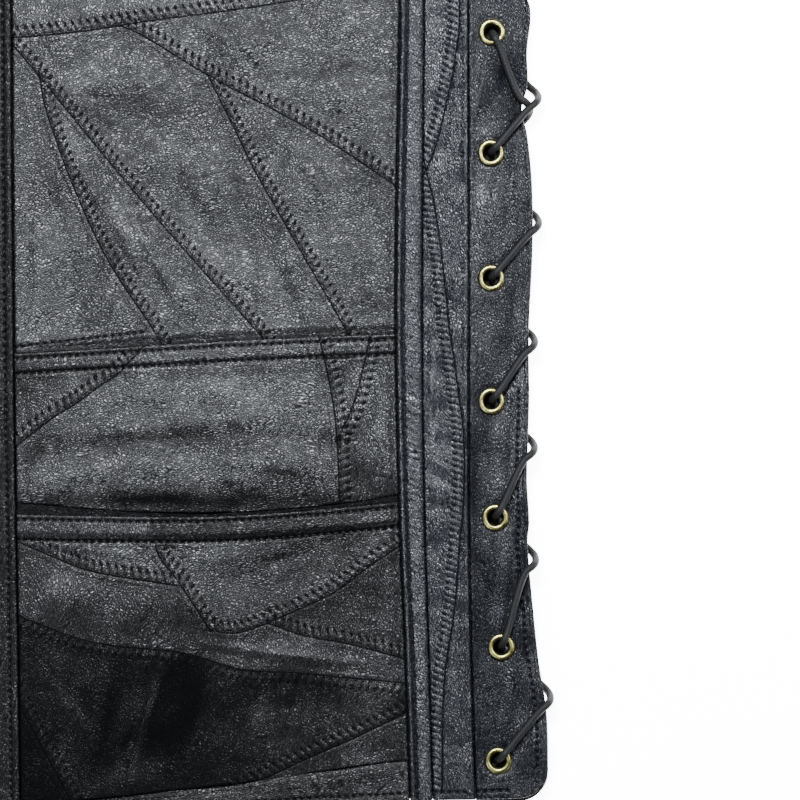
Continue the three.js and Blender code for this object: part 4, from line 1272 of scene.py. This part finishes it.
def moved_copy(piece, name, dx, dy, mirror):
    """A copy with its own mesh, moved, and mirrored for the right side."""
    copy = piece.copy()
    copy.data = piece.data.copy()
    copy.name = copy.data.name = name
    bpy.context.collection.objects.link(copy)
    count = len(copy.data.vertices)
    points = np.empty(count * 3)
    copy.data.vertices.foreach_get("co", points)
    points = points.reshape(-1, 3)
    points[:, 0] += dx * MM
    points[:, 1] += dy * MM
    if mirror:
        points[:, 0] *= -1
        copy.data.flip_normals()
    copy.data.vertices.foreach_set("co", points.ravel())
    copy.data.update()
    return copy


def brass(piece, node):
    dress(piece, BRASS, node)


def eyelets():
    for layer in ("front", "back"):
        first = turned_ring("ring", eyelet_section(LACE_EDGE_Z[layer]), 0, 0)
        for side, mirror in (("left", False), ("right", True)):
            for n, e in enumerate(EYELETS, 1):
                name = f"{layer}_eyelet_{side}_{n}"
                brass(moved_copy(first, "brass_" + name, e["x"], e["y"], mirror), name)
        bpy.data.objects.remove(first)


def snaps():
    """Snaps: a cap with its socket through the upper band, and a stud through the lower one."""
    top = BAND_Z["over"] + LEATHER + SETTING_GAP
    low = BAND_Z["over"] - SETTING_GAP
    cap = [(0, low + 1.1), (1.9, low + 1.1), (1.9, low - 0.6), (5.2, low - 0.6), (5.2, low),
           (2.6, low), (2.6, top), (7.2, top), (7.5, top + 0.3), (7.3, top + 0.75)]
    cap += [(6.6 * math.cos(t), top + 0.9 + 1.1 * math.sin(t)) for t in np.linspace(0, math.pi / 2, 7)]
    base = BAND_Z["under"] - SETTING_GAP
    stud = [(0, base - 0.7), (4.5, base - 0.7), (4.8, base - 0.4), (4.6, base), (1.5, base),
            (1.5, base + 3.2), (1.2, base + 3.5), (0, base + 3.5)]
    for n, y in enumerate(SNAP_ROWS, 1):
        brass(turned_ring(f"brass_snap_cap_{n}", cap, 0, y), f"snap_cap_{n}")
        brass(turned_ring(f"brass_snap_stud_{n}", stud, 0, y, 24), f"snap_stud_{n}")


# Laces. LACE_LOW is the middle of a lace that lies on the surface under the vest.
LACE_LOW = LACE_RADIUS + 0.05


def lace_route():
    """Up the side: from below through both eyelets, over the laced edges and under again."""
    low = LACE_LOW
    front = LACE_EDGE_Z["front"] + LEATHER
    back = LACE_EDGE_Z["back"]
    start = np.array(LACE_END)
    route = [(*start, low)]
    for e in EYELETS[::-1]:
        here = np.array([e["x"], e["y"]])
        wrap = np.array([e["wrap_x"], e["wrap_y"]])
        arrive = (start - here) / np.linalg.norm(start - here)
        leave = (wrap - here) / np.linalg.norm(wrap - here)
        down = -1 if e is EYELETS[0] else 1
        route += [(*(here + arrive * r), z) for r, z in ((7, low), (3.2, low + 0.2), (1.3, low + 1.6))]
        route += [(*(here + leave * r), z) for r, z in
                  ((0.5, front + 0.6), (1.2, front + 2.2), (3, front + 3.4), (6.5, front + 3))]
        wx, wy = wrap
        route += [(wx - 4, wy - 4.2 * down, front + 2.1), (wx - 1, wy - 1.6 * down, front + 1.7),
                  (wx + 0.2, wy, front - 0.8), (wx + 0.2, wy + 2.0 * down, back + 0.6),
                  (wx - 1, wy + 3.8 * down, back - 1.9), (wx - 4, wy + 6.6 * down, low)]
        start = np.array([wx - 4, wy + 6.6 * down])
    route.append((start[0] - 5, start[1] - 5, low))
    return np.array(route, float)


def curve_through(points, parts):
    """A centripetal curve through the points, as the solid's is."""
    p = np.vstack([2 * points[0] - points[1], points, 2 * points[-1] - points[-2]])
    out = []
    for a, b, c, d in zip(p[:-3], p[1:-2], p[2:-1], p[3:]):
        gaps = [max(np.linalg.norm(v) ** 0.5, 1e-4) for v in (b - a, c - b, d - c)]
        g0, g1, g2 = gaps
        start = ((b - a) / g0 - (c - a) / (g0 + g1) + (c - b) / g1) * g1
        end = ((c - b) / g1 - (d - b) / (g1 + g2) + (d - c) / g2) * g1
        t = np.linspace(0, 1, parts, endpoint=False)[:, None]
        out.append(b + start * t + (-3 * b + 3 * c - 2 * start - end) * t ** 2
                   + (2 * b - 2 * c + start + end) * t ** 3)
    return np.vstack(out + [points[-1:]])


def tube(name, path, radius, sides, mirror):
    """A closed round cord along a path, with the length along it and around it stored."""
    tangent = np.gradient(path, axis=0)
    tangent /= np.linalg.norm(tangent, axis=1)[:, None]
    normal = np.cross(tangent[0], (0, 0, 1.0))
    normals = []
    for t in tangent:
        normal = normal - t * np.dot(normal, t)
        normal = normal / np.linalg.norm(normal)
        normals.append(normal)
    normals = np.array(normals)
    side = np.cross(tangent, normals)
    turn = np.arange(sides) / sides * 2 * math.pi
    ring = normals[:, None] * np.cos(turn)[None, :, None] + side[:, None] * np.sin(turn)[None, :, None]
    rings = (path[:, None] + radius * ring).reshape(-1, 3)
    run = np.append(0, np.cumsum(np.linalg.norm(np.diff(path, axis=0), axis=1)))
    arc = radius * 2 * math.pi / sides
    faces, values = [], []
    for j in range(len(path) - 1):
        for k in range(sides):
            n = (k + 1) % sides
            faces.append((j * sides + k, (j + 1) * sides + k, (j + 1) * sides + n, j * sides + n))
            values += [(run[j], k * arc, 0), (run[j + 1], k * arc, 0),
                       (run[j + 1], (k + 1) * arc, 0), (run[j], (k + 1) * arc, 0)]
    last = len(rings)
    dome = radius * 0.4
    rings = np.vstack([rings, path[0] - tangent[0] * dome, path[-1] + tangent[-1] * dome])
    caps = []
    for k in range(sides):
        n = (k + 1) % sides
        caps.append((last, k, n))
        caps.append((last + 1, (len(path) - 1) * sides + n, (len(path) - 1) * sides + k))
    values = np.array(values + [(0, 0, 0)] * (3 * len(caps)))
    round_about = faces + caps
    if mirror:
        rings[:, 0] *= -1
        round_about = [face[::-1] for face in round_about]
        quads = values[:4 * len(faces)].reshape(-1, 4, 3)[:, ::-1].reshape(-1, 3)
        values = np.vstack([quads, values[4 * len(faces):]])
    piece = mesh_piece(name, rings, round_about)
    give(piece.data, "run", "FLOAT_VECTOR", "CORNER", values)
    return piece


# Stitches, each a short bead of thread that is sunk at its ends
LADDER_BEAD = 0.8
ROW_BEAD = 1.1
BEAD_WIDTH = 0.26
BEAD_HEIGHT = 0.22


def stitch_bead():
    """The points and faces of one bead, as arrays that stitches() repeats."""
    bpy.ops.object.select_all(action="DESELECT")
    bpy.ops.mesh.primitive_ico_sphere_add(subdivisions=1, radius=1)
    bead = bpy.context.object
    points = np.array([v.co[:] for v in bead.data.vertices])
    faces = np.array([f.vertices[:] for f in bead.data.polygons])
    bpy.data.objects.remove(bead)
    return points, faces


BEAD_POINTS, BEAD_FACES = stitch_bead()


def stitches(name, panel, mirror):
    """One piece of all the beads that are seen on a panel."""
    places, ways, sizes = [], [], []
    for side, line in panel["seams"]:
        if side:
            set_back = SLOT["away"] * SLOT["slant"] / panel["pitch"]
            p, t = line.row((SLOT["away"] - 0.2) / side, panel["pitch"], 1 - set_back)
            inward = np.sign(side) * left_of(t) - SLOT["slant"] * t
            seen = panel["seam_mask"](p[:, 0], p[:, 1]) > 0.9
            places.append(p[seen])
            ways.append((inward / np.linalg.norm(inward, axis=1)[:, None])[seen])
            sizes.append(np.full(seen.sum(), LADDER_BEAD))
    for line in panel["rows"]:
        p, t = line.row(0, PITCH["row"], 0.5)
        places.append(p)
        ways.append(t)
        sizes.append(np.full(len(p), ROW_BEAD))
    p, t, half = np.vstack(places), np.vstack(ways), np.concatenate(sizes)
    e = edge_distance(panel, p[:, 0], p[:, 1])
    inside = (e > 1.2) & keep(p[:, 0], p[:, 1], [(x, y, r + 2) for x, y, r in panel["holes"]])
    p, t, half = p[inside], t[inside], half[inside]
    z = top_of(panel, p[:, 0], p[:, 1])
    across = left_of(t)
    along = BEAD_POINTS[:, 0] * half[:, None]
    wide = BEAD_POINTS[:, 1] * BEAD_WIDTH
    x = p[:, :1] + along * t[:, :1] + wide * across[:, :1]
    y = p[:, 1:] + along * t[:, 1:] + wide * across[:, 1:]
    height = z[:, None] + BEAD_POINTS[:, 2] * BEAD_HEIGHT - 0.15 * BEAD_POINTS[:, 0] ** 2
    points = np.stack([x, y, height], -1).reshape(-1, 3)
    faces = (BEAD_FACES[None] + len(BEAD_POINTS) * np.arange(len(p))[:, None, None]).reshape(-1, 3)
    if mirror:
        points[:, 0] *= -1
        faces = faces[:, ::-1]
    piece = mesh_piece(name, points, faces.tolist())
    dress(piece, THREAD)
    return piece


def flat_area(piece):
    """Half of a closed wall's surface, which is the leather that was cut for it."""
    return sum(face.area for face in piece.data.polygons) / 2


def cloth(name, panel, node, leather, mirror):
    """Builds one cut piece of leather with its stitches."""
    finish, slot = leather
    panel = {**PLAIN, **panel}
    piece = shell(name, panel, mirror)
    dress(piece, finish, node)
    if panel["rows"] or panel["seams"]:
        stitches("stitches_" + node, panel, mirror)
    corners = np.array([v.co[:] for v in piece.data.vertices])
    width, length = np.ptp(corners[:, 0]), np.ptp(corners[:, 1])
    area = min(flat_area(piece), 0.99 * width * length)


def build_side(side, lap, mirror):
    """One side of the vest: lap says whether its band lies over or under the other one."""
    step = STEP[side]
    on_back, on_front, on_edge = "back_body", f"front_body_{side}", f"back_lace_panel_{side}"
    below_edge = lace_panel("back", BACK_HEM_DROP["lace_panel"], back_seam, 1.8 * step)
    cut = [
        ("back_lace_panel", "back_lace_panel", below_edge, SIDE_HIDE, on_back),
        ("front_body", "front_body", front_body(lap, step), FRONT_HIDE, on_back),
        ("front_band", "front_band", front_band(lap, step), FRONT_HIDE, on_back),
        ("upper_pocket", "pocket_upper", upper_pocket(lap, step), FRONT_HIDE, on_front),
        ("lower_pocket", "pocket_lower", lower_pocket(lap, step), FRONT_HIDE, on_front),
        ("side_strip", "side_strip", side_strip(step), SIDE_HIDE, on_back),
        ("side_panel", "side_panel", side_panel(step), SIDE_HIDE, on_back),
        ("front_lace_panel", "front_lace_panel", lace_panel("front", 0, lace_seam, step), SIDE_HIDE,
         on_edge)]
    for shown, node, panel, leather, below in cut:
        cloth(f"hide_{side}_{shown}", panel, f"{node}_{side}", leather, mirror)
    path = curve_through(lace_route(), 5)
    path[:, 2] = np.maximum(path[:, 2], LACE_LOW)
    lace = tube("cord_lace_" + side, path, LACE_RADIUS, 14, mirror)
    dress(lace, CORD, f"lace_{side}")


cloth("hide_back", back_body(STEP["back"]), "back_body", BACK_HIDE, False)
build_side("left", "over", False)
build_side("right", "under", True)
eyelets()
snaps()

# Floor, light and camera. VIEW_WIDTH is what the picture spans at FACE_HEIGHT, and the table of
# the floor's painted shadow under the vest, in metres as the floor is, gives its middle and reach across
# and along.
VIEW_MIDDLE = (184, -143.7)
VIEW_WIDTH = 320
VIEW_HEIGHT = 2000
FACE_HEIGHT = 8
COOL_WHITE = (0.93, 0.96, 1.0)
PAINTED_SHADOW_UNDER_VEST = {"across": (0.0, 0.230), "along": (-0.142, 0.162)}
FLOOR_DROP = 0.0005
FLOOR_GLOW = 9.0
ROOM_LIGHT = 0.06

bpy.ops.object.select_all(action="DESELECT")
bpy.ops.mesh.primitive_plane_add(size=6, location=(0, 0, -FLOOR_DROP))
floor = bpy.context.object
floor.name = "rest_floor"
bpy.ops.object.transform_apply(location=True)
paper = Finish("pale floor", Roughness=0.95, Emission_Strength=FLOOR_GLOW)
across_floor, along_floor, _ = paper.parts(paper.node("ShaderNodeTexCoord", output="Object"))
# Below the vest the floor is a painted shadow, dark and giving no light, so nothing pale shows through
# the bores
covered = (paper.node("ShaderNodeMath", {"operation": "COMPARE"}, [across_floor, *PAINTED_SHADOW_UNDER_VEST["across"]])
           * paper.node("ShaderNodeMath", {"operation": "COMPARE"}, [along_floor, *PAINTED_SHADOW_UNDER_VEST["along"]]))
paper.feed("Emission Color", paper.mixed(covered, (1, 1, 1), (0, 0, 0)))
paper.feed("Base Color", paper.mixed(covered, (0.9, 0.9, 0.9), (0.01, 0.01, 0.01)))
floor.data.materials.append(paper.material)


def soft_light(name, place_mm, aim_mm, size_mm, watts):
    """A rectangular studio light that is aimed at a point."""
    data = bpy.data.lights.new(name, "AREA")
    data.shape = "RECTANGLE"
    data.size, data.size_y = size_mm[0] * MM, size_mm[1] * MM
    data.energy = watts
    light = bpy.data.objects.new(name, data)
    bpy.context.collection.objects.link(light)
    light.location = Vector(place_mm) * MM
    way = Vector(aim_mm) - Vector(place_mm)
    light.rotation_euler = way.to_track_quat("-Z", "Y").to_euler()
    data.color = COOL_WHITE


soft_light("key light", (120, 300, 950), (170, -60, 0), (360, 240), 80)
soft_light("side light", (900, 100, 900), (184, -140, 0), (400, 500), 30)
soft_light("fill light", (-300, -800, 900), (184, -140, 0), (500, 400), 16)

world = bpy.data.worlds.new("studio")
bpy.context.scene.world = world
world.use_nodes = True
background = world.node_tree.nodes["Background"]
background.inputs["Color"].default_value = (1, 1, 1, 1)
background.inputs["Strength"].default_value = ROOM_LIGHT

camera_data = bpy.data.cameras.new("camera")
camera_data.type = "PERSP"
camera_data.sensor_width = 36
camera_data.lens = camera_data.sensor_width * (VIEW_HEIGHT - FACE_HEIGHT) / VIEW_WIDTH
camera_data.clip_start = 0.05
camera_data.clip_end = 50
camera = bpy.data.objects.new("camera", camera_data)
bpy.context.collection.objects.link(camera)
camera.location = Vector((*VIEW_MIDDLE, VIEW_HEIGHT)) * MM
camera.rotation_euler = (0, 0, 0)
bpy.context.scene.camera = camera
